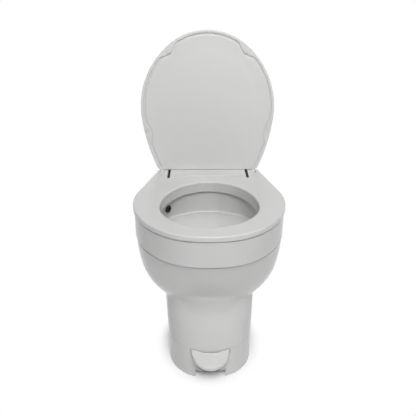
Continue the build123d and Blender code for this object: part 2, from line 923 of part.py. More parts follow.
def tooth_points(teeth, centre, middle_deg):
    """The outline of one involute tooth, as (y, z) points round the gear's centre."""
    pitch = gear_module * teeth / 2
    base = pitch * cos(radians(pressure_deg))
    root = pitch - gear_module * dedendum_factor
    tip = pitch + gear_module * tip_factor
    half_pitch = (pi / 2) / teeth - backlash / (2 * pitch)
    start = max(base, root)
    steps = 5
    flank = []
    for step in range(steps):
        radius = start + (tip - start) * step / (steps - 1)
        spread = involute(radians(pressure_deg)) - involute(acos(min(1, base / radius)))
        flank.append((radius, half_pitch + spread))
    if root < base:
        flank.insert(0, (root, flank[0][1]))
    middle = radians(middle_deg)
    turns = [(r, middle - a) for r, a in flank] + [(r, middle + a) for r, a in reversed(flank)]
    return [(centre[0] + r * cos(a), centre[1] + r * sin(a)) for r, a in turns]


def make_pinion():
    """The pinion on the ball's drive shaft, with a gap facing the sector at rest."""
    centre = (0.0, ball_height)
    points = []
    for tooth in range(pinion_teeth):
        turn = mesh_deg + half_turn_deg * (1 + (2 * tooth + 1) / pinion_teeth)
        points += tooth_points(pinion_teeth, centre, turn)
    gear = side_prism(points, gear_start, gear_end)
    bore = rod((gear_start, 0, ball_height), (gear_end, 0, ball_height), shaft_radius + fit_clearance)
    return gear - bore


def make_sector():
    """The gear sector on the pedal's shaft."""
    centre = (-pedal_y, pedal_height)
    step = 360 / sector_teeth
    points = []
    for tooth in range(-sector_travel_teeth - 2, 3):
        points += tooth_points(sector_teeth, centre, mesh_deg + tooth * step)
    low = (mesh_deg - step * (sector_travel_teeth + 3), mesh_deg + step * 3)
    root = sector_pitch - gear_module * dedendum_factor
    edge = [(centre[0] + root * cos(radians(a)), centre[1] + root * sin(radians(a))) for a in low]
    foot = pedal_hub_radius / 2
    heel = [
        (centre[0] + foot * cos(radians(a)), centre[1] + foot * sin(radians(a)))
        for a in (low[1] + quarter_turn_deg, low[0] - quarter_turn_deg)
    ]
    plate = side_prism([edge[0]] + points + [edge[1]] + heel, gear_start, gear_end)
    axle = centre
    hub_start = gear_start - side_gap
    plate += rod((hub_start, *axle), (gear_end, *axle), pedal_hub_radius)
    return plate - rod((hub_start, *axle), (gear_end, *axle), clip_inner)


def pedal_shaft_ends():
    """The X places where the pedal's shaft starts and stops."""
    left = -(spring_lever_x + spring_lever_width)
    return left, gear_end + clip_width


def make_pedal_shaft():
    """The shaft that joins the pedal, the spring lever and the sector."""
    left, right = pedal_shaft_ends()
    return rod((left, -pedal_y, pedal_height), (right, -pedal_y, pedal_height), pedal_shaft_radius)


def make_shaft_clips():
    """Retaining clips at the ends of the pedal's shaft."""
    left, right = pedal_shaft_ends()
    clips = []
    for start in (left + clip_width, right - clip_width):
        ends = (start, start + clip_thickness)
        if start > 0:
            ends = (gear_end, gear_end + clip_thickness)
        if start < 0:
            edge = -(spring_lever_x + spring_lever_width / 2)
            ends = (edge - clip_thickness, edge)
        clips.append(
            sleeve(
                (ends[0], -pedal_y, pedal_height),
                (ends[1], -pedal_y, pedal_height),
                pedal_shaft_radius + clip_width,
                clip_inner,
            )
        )
    return clips


def bracket_spans():
    """The X span of each bearing bracket of the pedal's shaft."""
    left = -(spring_lever_x - spring_lever_width / 2) + side_gap
    inner = arm_half_width + bracket_gap
    right = gear_start - side_gap * 2 - bracket_width
    return [(left, left + bracket_width), (inner, inner + bracket_width), (right, right + bracket_width)]


def make_brackets():
    """Bearing brackets that stand on the foot plate."""
    brackets = []
    for low, high in bracket_spans():
        body = rod((low, -pedal_y, pedal_height), (high, -pedal_y, pedal_height), bracket_reach)
        body += block(
            (low, -pedal_y - bracket_reach, plate_top), (high, -pedal_y + bracket_reach, pedal_height)
        )
        bore = pedal_shaft_radius + bushing_wall + fit_clearance
        brackets.append(body - rod((low, -pedal_y, pedal_height), (high, -pedal_y, pedal_height), bore))
    return brackets


def make_pedal_bushings():
    """Plain bushings in the brackets."""
    outer, inner = pedal_shaft_radius + bushing_wall, pedal_shaft_radius + run_clearance
    return [
        sleeve((low, -pedal_y, pedal_height), (high, -pedal_y, pedal_height), outer, inner)
        for low, high in bracket_spans()
    ]


def tread_top(y):
    """The height of the tread's sloping top at a place in front of the column."""
    return seam_height - (-column_front - y) * tan(radians(pedal_slope_deg))


def tread_slab(top_drop, bottom_drop, inset):
    """The half-oval tread between two sloping planes, drawn in by the inset."""
    half, reach = pedal_half_width - inset, column_front + pedal_reach - pedal_root_y - inset
    arc = EllipticalCenterArc((0, -pedal_root_y), half, reach, half_turn_deg, arc_size=half_turn_deg)
    face = make_face([arc, Line((half, -pedal_root_y), (-half, -pedal_root_y))])
    front, rear = -(column_front + pedal_reach + overrun), -pedal_root_y
    band = side_prism(
        [
            (front, tread_top(front) - bottom_drop),
            (rear, tread_top(rear) - bottom_drop),
            (rear, tread_top(rear) - top_drop),
            (front, tread_top(front) - top_drop),
        ],
        -pedal_half_width,
        pedal_half_width,
    )
    slab = prism(face, 0, seam_height * 2) & band
    if inset > 0:
        return slab
    top = max(slab.faces(), key=lambda face: face.normal_at().Z)
    rim = top.edges().filter_by(lambda edge: edge.geom_type != GeomType.LINE)
    return fillet(rim, pedal_edge_round)


def make_tread():
    """The foot tread: a sloping half-oval plate with a lip all round its free edge."""
    body = tread_slab(0, pedal_lip, 0)
    body -= tread_slab(pedal_wall, pedal_lip * 2, pedal_wall)
    body -= plinth_loft(-pedal_wall_gap)
    body -= column_loft(-pedal_wall_gap)
    swing = Axis((0, -pedal_y, pedal_height), (1, 0, 0))
    return body - plinth_loft(-pedal_swing_gap).rotate(swing, -pedal_travel_deg)


def make_pedal_arm():
    """The arm from the shaft's hub out to the underside of the tread."""
    front = -(column_front + pedal_reach / 2)
    tip_high = tread_top(front) - pedal_wall
    knee = -(column_front + pedal_wall_gap)
    knee_high = tread_top(knee) - pedal_wall
    points = [
        (-pedal_y, pedal_height + pedal_hub_radius),
        (knee, knee_high),
        (front, tip_high),
        (front, tip_high - pedal_lip / 3),
        (knee, knee_high - arm_depth),
        (-pedal_y, pedal_height - pedal_hub_radius),
    ]
    body = side_prism(points, -arm_half_width, arm_half_width)
    axle = (-pedal_y, pedal_height)
    body += rod((-arm_half_width, *axle), (arm_half_width, *axle), pedal_hub_radius)
    return body - rod((-arm_half_width, *axle), (arm_half_width, *axle), clip_inner)


def spring_pad_height():
    """The underside of the spring lever, where the spring ends."""
    return pedal_height - spring_cup_depth


def make_spring_lever():
    """The short lever that presses the return spring when the pedal goes down."""
    low, high = -(spring_lever_x + spring_lever_width / 2), -(spring_lever_x - spring_lever_width / 2)
    pad = spring_pad_height()
    reach = -spring_y - spring_cup_radius
    points = [
        (-pedal_y, pedal_height + pedal_hub_radius),
        (reach, pad + arm_depth / 2),
        (reach, pad),
        (-pedal_y, pad),
    ]
    body = side_prism(points, low, high)
    axle = (-pedal_y, pedal_height)
    body += rod((low, *axle), (high, *axle), pedal_hub_radius)
    return body - rod((low, *axle), (high, *axle), clip_inner)


def make_spring_cup():
    """The cup on the foot plate that keeps the spring in place."""
    base = (-spring_lever_x, -spring_y, plate_top)
    top = (-spring_lever_x, -spring_y, plate_top + spring_cup_depth * 2)
    floor = (-spring_lever_x, -spring_y, plate_top + spring_cup_depth)
    return rod(base, top, spring_cup_radius) - rod(floor, top, spring_radius + spring_wire + side_gap)


def make_return_spring():
    """A compression spring, wound as an unbroken tube of round wire."""
    low = plate_top + spring_cup_depth + spring_wire
    high = spring_pad_height() - spring_wire - bumper_gap
    pitch = (high - low) / spring_turns
    helix = Helix(pitch, high - low, spring_radius, center=(-spring_lever_x, -spring_y, low))
    start = helix @ 0
    section = Plane(origin=start, z_dir=helix % 0) * Circle(spring_wire)
    print("least gap between spring turns", round(pitch - spring_wire * 2, 2))
    return sweep(section, path=helix, is_frenet=True)


def cam_middle():
    """The distance of the cam's middle plane from the middle of the toilet."""
    return gear_start + cam_width / 2


def make_cam():
    """The spiral cam: its radius grows evenly over the ball's quarter turn."""
    x_low, x_high = -(gear_start + cam_width), -gear_start
    rise = cam_lift / radians(ball_travel_deg)
    offset = plunger_radius + cam_gap
    places = []
    for step in range(-1, cam_points + 1):
        turn = radians(ball_travel_deg) * step / (cam_points - 1)
        radius = follower_radius() + rise * turn
        lean = turn - atan2(rise, radius)
        y, z = radius * cos(turn) - offset * cos(lean), radius * sin(turn) - offset * sin(lean)
        places.append((x_low, y, ball_height + z))
    spiral = Spline(*places)
    back = Polyline(
        places[-1],
        (x_low, -cam_low, ball_height),
        (x_low, 0, ball_height - cam_low),
        (x_low, cam_low / 2, ball_height - cam_low),
        places[0],
    )
    plate = extrude(make_face([spiral, back]), cam_width, dir=(1, 0, 0))
    return plate - rod((x_low, 0, ball_height), (x_high, 0, ball_height), shaft_radius + fit_clearance)


def follower_radius():
    """The distance from the ball's axis to the middle of the plunger's domed tip at rest."""
    return cam_low + plunger_radius + cam_gap


def make_plunger():
    """The rod with a domed tip that the cam pushes into the water valve."""
    x, start = -cam_middle(), follower_radius()
    bar = rod((x, start, ball_height), (x, start + plunger_length, ball_height), plunger_radius)
    return bar + Pos(x, start, ball_height) * Sphere(plunger_radius)


def grommet_radius():
    """The hole in the column's rear wall for the water inlet."""
    return inlet_radius + grommet_width


def make_valve():
    """The water valve's body with its plunger bore, inlet pipe and outlet barb."""
    x = -cam_middle()
    rear = valve_front + valve_length
    body = rod((x, valve_front, ball_height), (x, rear, ball_height), valve_radius)
    nose_start = valve_front - valve_nose_radius
    body += rod((x, nose_start, ball_height), (x, valve_front, ball_height), valve_nose_radius)
    body += rod((x, rear, ball_height), (x, inlet_reach, ball_height), inlet_radius)
    flange_start = inlet_reach - inlet_flange_length
    body += rod((x, flange_start, ball_height), (x, inlet_reach, ball_height), inlet_flange_radius)
    barb_y = outlet_barb_y()
    barb_top = ball_height + valve_radius + barb_length
    body += rod((x, barb_y, ball_height), (x, barb_y, barb_top), hose_bore_radius)
    stop = follower_radius() + plunger_length + cam_lift + overrun
    mouth = (x, nose_start - overrun, ball_height)
    body -= rod(mouth, (x, stop, ball_height), plunger_radius + run_clearance)
    body -= rod((x, stop, ball_height), (x, rear, ball_height), valve_bore_radius)
    body -= rod((x, rear, ball_height), (x, inlet_reach + overrun, ball_height), inlet_bore_radius)
    return body - rod((x, barb_y, ball_height), (x, barb_y, barb_top + overrun), barb_bore_radius)


def outlet_barb_y():
    """The Y place of the valve's outlet barb."""
    return valve_front + valve_length * valve_outlet_share


def make_inlet_grommet():
    """The grommet between the inlet pipe and the boss on the column's rear wall."""
    x = -cam_middle()
    start, end = inlet_boss_face - column_wall * 3, inlet_boss_face + inlet_flange_length
    ring = rod((x, start, ball_height), (x, end, ball_height), grommet_radius())
    ring += rod((x, inlet_boss_face, ball_height), (x, end, ball_height), grommet_radius() + grommet_lip)
    return ring - rod((x, start, ball_height), (x, end, ball_height), inlet_radius + fit_clearance)


def make_inlet_nut():
    """The captive swivel nut that takes the supply line."""
    x = -cam_middle()
    back = inlet_reach - inlet_flange_length - run_clearance - nut_back
    plane = Plane(origin=(x, back, ball_height), x_dir=(1, 0, 0), z_dir=(0, 1, 0))
    hexagon = RegularPolygon(nut_across_flats / 2, 6, major_radius=False)
    body = extrude(plane * hexagon, nut_length)
    front = (x, back + nut_length + overrun, ball_height)
    body -= rod((x, back - overrun, ball_height), front, inlet_radius + run_clearance)
    relief = (x, back + nut_back + nut_relief_length, ball_height)
    body -= rod((x, back + nut_back, ball_height), relief, nut_relief_radius)
    return body - rod(relief, front, nut_thread_radius)


def make_clamp():
    """Two half rings that hold the basin, the seal and the housing together."""
    low = housing_top - flange_thickness - clamp_lip
    high = basin_neck + clamp_lip
    inner = flange_radius + fit_clearance
    outer = flange_radius + clamp_wall
    body = rod((0, 0, low), (0, 0, high), outer)
    ear_low = (low + high - clamp_ear_height) / 2
    for side in (1, -1):
        near, far = side * flange_radius, side * (outer + clamp_ear_length)
        body += block(
            (-clamp_ear_width, min(near, far), ear_low),
            (clamp_ear_width, max(near, far), ear_low + clamp_ear_height),
        )
    body -= rod((0, 0, low + clamp_lip), (0, 0, high - clamp_lip), inner)
    body -= rod((0, 0, low - overrun), (0, 0, high + overrun), outer - clamp_lip_width)
    reach = outer + clamp_ear_length + overrun
    body -= block((-clamp_split / 2, -reach, low - overrun), (clamp_split / 2, reach, high + overrun))
    for screw in make_clamp_screws():
        body -= screw
    halves = body.solids().sort_by(Axis.X)
    return halves[0], halves[-1]


def make_clamp_screws():
    """One screw through each pair of clamp ears, with its head and nut."""
    middle = (housing_top - flange_thickness + basin_neck) / 2
    screws = []
    head = clamp_screw_radius * 2
    for side in (1, -1):
        y = side * (flange_radius + clamp_wall + clamp_ear_length / 2)
        start, end = -clamp_ear_width - clamp_lip, clamp_ear_width + clamp_lip
        screw = rod((start, y, middle), (end, y, middle), clamp_screw_radius)
        screw += rod((start, y, middle), (-clamp_ear_width, y, middle), head)
        screw += rod((clamp_ear_width, y, middle), (end, y, middle), head)
        screws.append(screw)
    return screws


def make_outlet():
    """The outlet spigot, flanged under the housing."""
    top = housing_bottom
    body = rod((0, 0, outlet_foot), (0, 0, top), outlet_radius + outlet_wall)
    body += rod((0, 0, top - outlet_flange_thickness), (0, 0, top), outlet_flange_radius)
    body -= rod((0, 0, outlet_foot - overrun), (0, 0, top + overrun), outlet_radius)
    for screw in make_outlet_screws():
        body -= screw
    return body


def make_outlet_screws():
    """Screws up through the spigot's flange into the housing's floor."""
    screws = []
    low = housing_bottom - outlet_flange_thickness
    head_low = low - outlet_screw_radius
    for turn in range(outlet_screw_count):
        angle = radians(360 * turn / outlet_screw_count)
        x, y = outlet_screw_circle * cos(angle), outlet_screw_circle * sin(angle)
        screw = rod((x, y, head_low), (x, y, head_low + outlet_screw_length), outlet_screw_radius)
        screw += rod((x, y, head_low), (x, y, low), outlet_screw_radius * 2)
        screws.append(screw)
    return screws


def make_floor_seal():
    """The rubber ring between the foot plate and the closet flange."""
    low, high = floor_seal_lift, plate_height
    inner = outlet_radius + outlet_wall + bumper_gap
    return sleeve((0, 0, low), (0, 0, high), floor_seal_radius, inner)


def nozzle_body_radius():
    """The radius of the nozzle's barrel through the rim's inner wall."""
    return hose_bore_radius


def nozzle_place():
    """A point on the rim's inner wall and the direction outwards there."""
    share = (nozzle_height - ledge_height) / (rim_top - ledge_height)
    foot, top = rim_foot_growth, seat_skirt_wall + rim_skirt_gap
    half = (basin_half_width + foot) * (1 - share) + (seat_hole_half_width + top) * share
    rear = (basin_rear + foot) * (1 - share) + (seat_hole_rear + top) * share
    centre = basin_centre * (1 - share) + seat_hole_centre * share
    turn = radians(nozzle_turn_deg)
    depth = rear - centre
    point = (-half * cos(turn), centre + depth * sin(turn), nozzle_height)
    normal = Vector(-cos(turn) / half, sin(turn) / depth, 0).normalized()
    return Vector(*point), normal


def nozzle_rod(radius, start, end):
    """A bar along the nozzle's axis, from one distance past the wall's face to another."""
    point, normal = nozzle_place()
    return rod(tuple(point + normal * start), tuple(point + normal * end), radius)


def make_nozzle():
    """The spray nozzle that rinses the bowl."""
    tail = rim_wall * 2 + barb_length
    barrel = nozzle_rod(nozzle_body_radius(), -nozzle_face_thickness, tail)
    face = nozzle_rod(nozzle_face_radius, -nozzle_face_thickness, rim_wall)
    face -= rim_inner_loft(rim_wall + overrun) - rim_inner_loft(0)
    face = max((face & rim_inner_loft(0)).solids(), key=lambda solid: solid.volume)
    bore = nozzle_rod(nozzle_bore_radius, -nozzle_face_thickness - overrun, tail + overrun)
    return barrel + face - bore


def hose(points, radii):
    """A hose of one bore along straight runs joined by arcs."""
    path = FilletPolyline(*points, radius=radii)
    print("hose bend radii", [round(radius, 1) for radius in radii])
    start = Plane(origin=path @ 0, z_dir=path % 0)
    outer = sweep(start * Circle(hose_radius), path=path)
    inner = sweep(start * Circle(hose_bore_radius + fit_clearance), path=path)
    return outer - inner


def bend_radii(points):
    """For each corner, the largest arc that the runs beside it leave room for."""
    runs = [Vector(*after) - Vector(*before) for before, after in zip(points, points[1:])]
    room = [run.length * bend_share for run in runs]
    room[0] = runs[0].length - barb_length - overrun
    room[-1] = runs[-1].length - barb_length - overrun
    radii = []
    for one, two, before, after in zip(runs, runs[1:], room, room[1:]):
        half_turn = radians(one.get_angle(two)) / 2
        radii.append(min(before, after) / tan(half_turn))
    return radii


def left_side(route):
    """A route on the left, from distances written as positive."""
    return [(-x, y, z) for x, y, z in route]


def breaker_inlet_height():
    """The height of the breaker's inlet barb."""
    return breaker_bottom + breaker_wall * 2 + float_height + hose_radius


def lower_hose_points():
    """From the valve's outlet barb up between basin and shell to the breaker."""
    start = (-cam_middle(), outlet_barb_y(), ball_height + valve_radius + overrun)
    rise = (-cam_middle(), outlet_barb_y(), start[2] + hose_rise)
    level = breaker_inlet_height()
    end = (-breaker_x, breaker_y - breaker_radius - overrun, level)
    run_in = (-breaker_x, end[1] - hose_run_in, level)
    return [start, rise] + left_side(lower_hose_route) + [run_in, end]


def breaker_outlet(reach):
    """A point on the axis of the breaker's outlet barb."""
    turn = radians(breaker_outlet_deg)
    return (-breaker_x - reach * sin(turn), breaker_y - reach * cos(turn), breaker_inlet_height())


def upper_hose_points():
    """From the breaker's side barb round to the nozzle."""
    point, normal = nozzle_place()
    tail = rim_wall * 2
    end = point + normal * tail
    bend = point + normal * (tail + hose_run_in)
    start = breaker_outlet(breaker_radius + overrun)
    turn = breaker_outlet(breaker_radius + overrun + hose_run_out)
    return [start, turn] + left_side(upper_hose_route) + [tuple(bend), tuple(end)]


def make_hose(points):
    """A hose along its route, with bends as wide as the runs allow."""
    return hose(points, bend_radii(points))


def clamp_ring(start, towards):
    """A band clamp round one end of a hose."""
    begin = Vector(*start)
    along = (Vector(*towards) - begin).normalized()
    ends = [tuple(begin + along * reach) for reach in (overrun * 2, overrun * 2 + hose_clamp_width)]
    return sleeve(*ends, hose_radius + hose_clamp_wall, hose_radius + fit_clearance)


def make_hose_clamps():
    """A clamp at each end of both hoses."""
    clamps = []
    for points in (lower_hose_points(), upper_hose_points()):
        clamps.append(clamp_ring(points[0], points[1]))
        clamps.append(clamp_ring(points[-1], points[-2]))
    return clamps


def make_breaker():
    """The anti-siphon breaker's body with its two barbs."""
    centre = (-breaker_x, breaker_y)
    top = rear_deck_top - rim_deck - breaker_cap_height
    body = rod((*centre, breaker_bottom), (*centre, top), breaker_radius)
    level = breaker_inlet_height()
    inlet_end = (-breaker_x, breaker_y - breaker_radius - barb_length, level)
    side_end = breaker_outlet(breaker_radius + barb_length)
    body += rod((*centre, level), inlet_end, hose_bore_radius)
    body += rod((*centre, level), side_end, hose_bore_radius)
    chamber = breaker_radius - breaker_wall
    body -= rod((*centre, breaker_bottom + breaker_wall), (*centre, top + overrun), chamber)
    for end in (inlet_end, side_end):
        body -= rod((*centre, level), end, barb_bore_radius)
    return body


def make_breaker_cap():
    """The vented cap that hangs the breaker under the rear deck."""
    low = rear_deck_top - rim_deck - breaker_cap_height
    high = rear_deck_top - rim_deck
    centre = (-breaker_x, breaker_y)
    body = rod((*centre, low), (*centre, high), breaker_cap_radius)
    body -= rod((*centre, low - overrun), (*centre, high - breaker_wall), breaker_radius - breaker_wall * 2)
    return body


def make_float():
    """The float disc that shuts the breaker's vent when water flows."""
    low = breaker_bottom + breaker_wall + bumper_gap
    centre = (-breaker_x, breaker_y)
    return rod((*centre, low), (*centre, low + float_height), float_radius)


clamp_left, clamp_right = make_clamp()

pieces = {
    "seat_ring": [make_seat()],
    "seat_bumpers": make_seat_bumpers(),
    "lid_shell": [make_lid()],
    "lid_liner": [make_lid_liner()],
    "lid_bumpers": make_lid_bumpers(),
    "hinge_block": [make_hinge_block()],
    "hinge_pins": make_hinge_pins(),
    "hinge_spacers": make_hinge_spacers(),
    "hinge_screws": make_hinge_screws(),
    "bowl_rim": [make_rim()],
    "bowl_shell": [make_shell()],
    "bowl_basin": [make_basin()],
    "pedestal_column": [make_column()],
    "pedestal_plinth": [make_plinth()],
    "flush_ball": [make_ball()],
    "ball_drive_shaft": [ball_shaft(1)],
    "ball_idle_shaft": [ball_shaft(-1)],
    "throat_seal": [make_throat_seal()],
    "valve_housing": [make_housing()],
    "shaft_bushings": make_bushings(),
    "clamp_half_left": [clamp_left],
    "clamp_half_right": [clamp_right],
    "clamp_screws": make_clamp_screws(),
    "outlet_spigot": [make_outlet()],
    "outlet_screws": make_outlet_screws(),
    "floor_seal": [make_floor_seal()],
    "drive_pinion": [make_pinion()],
    "gear_sector": [make_sector()],
    "pedal_shaft": [make_pedal_shaft()],
    "pedal_arm": [make_pedal_arm()],
    "pedal_tread": [make_tread()],
    "shaft_clips": make_shaft_clips(),
    "shaft_brackets": make_brackets(),
    "pedal_bushings": make_pedal_bushings(),
    "spring_lever": [make_spring_lever()],
    "spring_cup": [make_spring_cup()],
    "return_spring": [make_return_spring()],
    "water_cam": [make_cam()],
    "valve_plunger": [make_plunger()],
    "water_valve": [make_valve()],
    "inlet_grommet": [make_inlet_grommet()],
    "inlet_nut": [make_inlet_nut()],
    "lower_hose": [make_hose(lower_hose_points())],
    "upper_hose": [make_hose(upper_hose_points())],
    "hose_clamps": make_hose_clamps(),
    "breaker_body": [make_breaker()],
    "breaker_cap": [make_breaker_cap()],
    "breaker_float": [make_float()],
    "spray_nozzle": [make_nozzle()],
}

os.makedirs("parts", exist_ok=True)
for name, solids in pieces.items():
    export_step(Compound(children=[Part(solid.wrapped) for solid in solids]), f"parts/{name}.step")
print(len(pieces), "nodes")
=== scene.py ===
"""Looks of a foot-pedal caravan toilet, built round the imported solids.

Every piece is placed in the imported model's own frame, in metres. The moulded casing, the
lid and the smaller rounded pieces are surfaces worked out with numpy. Sizes of the casing,
the lid, the pedal and the hinge are in millimetres. Those of the finishes, the camera, the
lamps and the floor are in metres.
"""

from __future__ import annotations

import json
import logging
import math
from dataclasses import dataclass, field
from enum import Enum
from typing import Iterable, Sequence

import bmesh
import bpy
import numpy as np
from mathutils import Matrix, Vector

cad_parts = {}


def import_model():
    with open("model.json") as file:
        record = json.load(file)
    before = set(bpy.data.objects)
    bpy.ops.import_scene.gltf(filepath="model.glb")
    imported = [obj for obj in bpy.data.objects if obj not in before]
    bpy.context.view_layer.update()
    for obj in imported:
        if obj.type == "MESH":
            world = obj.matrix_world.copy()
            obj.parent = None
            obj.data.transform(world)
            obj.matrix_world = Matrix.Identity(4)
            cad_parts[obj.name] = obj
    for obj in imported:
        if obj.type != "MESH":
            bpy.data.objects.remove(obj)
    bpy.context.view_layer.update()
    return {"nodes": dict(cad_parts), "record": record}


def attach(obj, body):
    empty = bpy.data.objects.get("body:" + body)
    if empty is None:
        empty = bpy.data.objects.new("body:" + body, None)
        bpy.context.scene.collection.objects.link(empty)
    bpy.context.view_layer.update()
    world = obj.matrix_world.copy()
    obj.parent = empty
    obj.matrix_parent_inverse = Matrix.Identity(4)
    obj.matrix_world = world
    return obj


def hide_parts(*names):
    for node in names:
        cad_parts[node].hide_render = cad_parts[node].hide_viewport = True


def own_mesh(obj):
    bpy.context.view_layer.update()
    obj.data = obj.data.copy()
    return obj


LOG = logging.getLogger("toilet")
MM = 0.001
FULL_TURN = 2 * math.pi
Triple = tuple[float, float, float]
Pair = tuple[float, float]

MID_ROUND = 0.3
CORNER_SHARE = 0.45
HALVINGS = 40
EDGE_SAMPLES = 6


# Curves and grids


def smooth_through(at: np.ndarray, knots: Sequence[float], values: Sequence[float]) -> np.ndarray:
    """Read a natural cubic spline through knots.

    Between two knots the curve is the cubic whose second derivative runs straight from one
    knot's value to the next, and is nought at both ends.

    Args:
        at: Where to read the curve.
        knots: Rising places of the known values.
        values: The known values.

    Returns:
        The curve's value at each place, held at the end values outside the knots.
    """
    x, y = np.asarray(knots, float), np.asarray(values, float)
    gap, rise = np.diff(x), np.diff(y)
    count = len(x)
    system, right = np.eye(count), np.zeros(count)
    inner = np.arange(1, count - 1)
    system[inner, inner - 1] = gap[:-1]
    system[inner, inner] = 2 * (gap[:-1] + gap[1:])
    system[inner, inner + 1] = gap[1:]
    right[1:-1] = 6 * (rise[1:] / gap[1:] - rise[:-1] / gap[:-1])
    bend = np.linalg.solve(system, right)
    place = np.clip(at, x[0], x[-1])
    i = np.clip(np.searchsorted(x, place) - 1, 0, count - 2)
    low, high = x[i + 1] - place, place - x[i]
    cubic = (bend[i] * low**3 + bend[i + 1] * high**3) / (6 * gap[i])
    start = (y[i] / gap[i] - bend[i] * gap[i] / 6) * low
    return cubic + start + (y[i + 1] / gap[i] - bend[i + 1] * gap[i] / 6) * high


def eased(share: np.ndarray) -> np.ndarray:
    """Ease a share from 0 to 1 with level ends: three squares less two cubes."""
    t = np.clip(share, 0.0, 1.0)
    return t * t * (3.0 - 2.0 * t)


def joined(one: np.ndarray, two: np.ndarray, blend: np.ndarray | float) -> np.ndarray:
    """Join two values with a fillet: the larger of both, raised where they are closer than blend.

    Args:
        one: First value.
        two: Second value.
        blend: How far apart they may lie and still be raised.

    Returns:
        The joined value.
    """
    share = np.clip(0.5 + 0.5 * (one - two) / blend, 0.0, 1.0)
    return two * (1 - share) + one * share + blend * share * (1 - share)


def turns_of(count: int) -> np.ndarray:
    """Evenly spaced directions of a full turn, in radians."""
    return np.linspace(0, FULL_TURN, count, endpoint=False)


def ring_faces(rows: int, columns: int, start: int = 0, wrap_rows: bool = False) -> list[list[int]]:
    """Number the quads of a grid whose columns close round.

    Args:
        rows: Rows in the grid.
        columns: Points in each row.
        start: Number of the grid's first point.
        wrap_rows: Whether the last row joins the first.

    Returns:
        The four vertex numbers of each quad.
    """
    last = rows if wrap_rows else rows - 1
    r, c = np.meshgrid(np.arange(last), np.arange(columns), indexing="ij")
    r_next, c_next = (r + 1) % rows, (c + 1) % columns
    corners = [r * columns + c, r * columns + c_next, r_next * columns + c_next, r_next * columns + c]
    return (np.stack(corners, -1).reshape(-1, 4) + start).tolist()


def pole_faces(columns: int, row_start: int, pole: int) -> list[list[int]]:
    """Number the triangles between one closed row and a single point.

    Args:
        columns: Points in the row.
        row_start: Number of the row's first point.
        pole: Number of the single point.

    Returns:
        The three vertex numbers of each triangle.
    """
    c = np.arange(columns)
    corners = [row_start + c, row_start + (c + 1) % columns, np.full(columns, pole)]
    return np.stack(corners, -1).tolist()


def enclosed(points: np.ndarray, faces: Sequence[Sequence[int]]) -> float:
    """Work out the volume inside closed faces: a sixth of the sum of all triple products.

    Args:
        points: Vertex places in rows of three.
        faces: Vertex numbers of each triangle or quad.

    Returns:
        The volume, negative where the faces point inwards.
    """
    total = 0.0
    for size in (3, 4):
        chosen = [face for face in faces if len(face) == size]
        if chosen:
            corner = points[np.asarray(chosen)]
            for k in range(1, size - 1):
                across = np.cross(corner[:, k], corner[:, k + 1])
                total += np.einsum("ij,ij->i", corner[:, 0], across).sum()
    return total / 6


def mesh_object(name: str, points: np.ndarray, faces: Sequence[Sequence[int]]) -> bpy.types.Object:
    """Make a smooth-shaded mesh object at the origin, with its faces pointing outwards.

    Args:
        name: The object's name.
        points: Vertex places in metres, in rows of three.
        faces: Vertex numbers of each face.

    Returns:
        The new object, linked to the scene.
    """
    rows = points.reshape(-1, 3)
    if enclosed(rows, faces) < 0:
        faces = [list(reversed(face)) for face in faces]
    mesh = bpy.data.meshes.new(name)
    mesh.from_pydata(rows.tolist(), [], faces)
    mesh.validate()
    mesh.polygons.foreach_set("use_smooth", np.ones(len(mesh.polygons), bool))
    mesh.update()
    piece = bpy.data.objects.new(name, mesh)
    bpy.context.scene.collection.objects.link(piece)
    return piece


def tube_mesh(name: str, rings: np.ndarray,
              poles: tuple[np.ndarray, np.ndarray] | None) -> bpy.types.Object:
    """Make a closed mesh from rings of points.

    Args:
        name: The object's name.
        rings: Points in metres, as rings, points in a ring, and coordinates.
        poles: The points that close the first and last ring, or None where the rings
            themselves close into a loop.

    Returns:
        The new object.
    """
    rows, columns = rings.shape[:2]
    faces = ring_faces(rows, columns, wrap_rows=poles is None)
    points = rings.reshape(-1, 3)
    if poles is not None:
        faces += [face[::-1] for face in pole_faces(columns, 0, len(points))]
        faces += pole_faces(columns, (rows - 1) * columns, len(points) + 1)
        points = np.concatenate([points, np.asarray(poles, float)])
    return mesh_object(name, points, faces)


def plate_rings(shape: np.ndarray, low: float, high: float, bevel: float,
                centre: Sequence[float] | None = None) -> tuple[np.ndarray, np.ndarray]:
    """Run a side view along X, drawn in at both faces so that the edges are round.

    The middle of each round edge lies at the same small share of the bevel from both sides.

    Args:
        shape: The side view against the clock, in rows of y and z.
        low: The lesser x.
        high: The greater x.
        bevel: How far the faces are drawn in.
        centre: A place that sees the whole side view, or None for the mean of its points.

    Returns:
        The rings of points, and the middles of both faces.
    """
    outward = outward_of(shape)
    part = bevel * MID_ROUND
    stations = [(low, bevel), (low + part, part), (low + bevel, 0.0),
                (high - bevel, 0.0), (high - part, part), (high, bevel)]
    rings = np.stack([
        np.concatenate([np.full((len(shape), 1), x), shape - outward * inset], -1)
        for x, inset in stations
    ])
    middle = shape.mean(0) if centre is None else np.asarray(centre)
    return rings, np.array([[low, *middle], [high, *middle]])


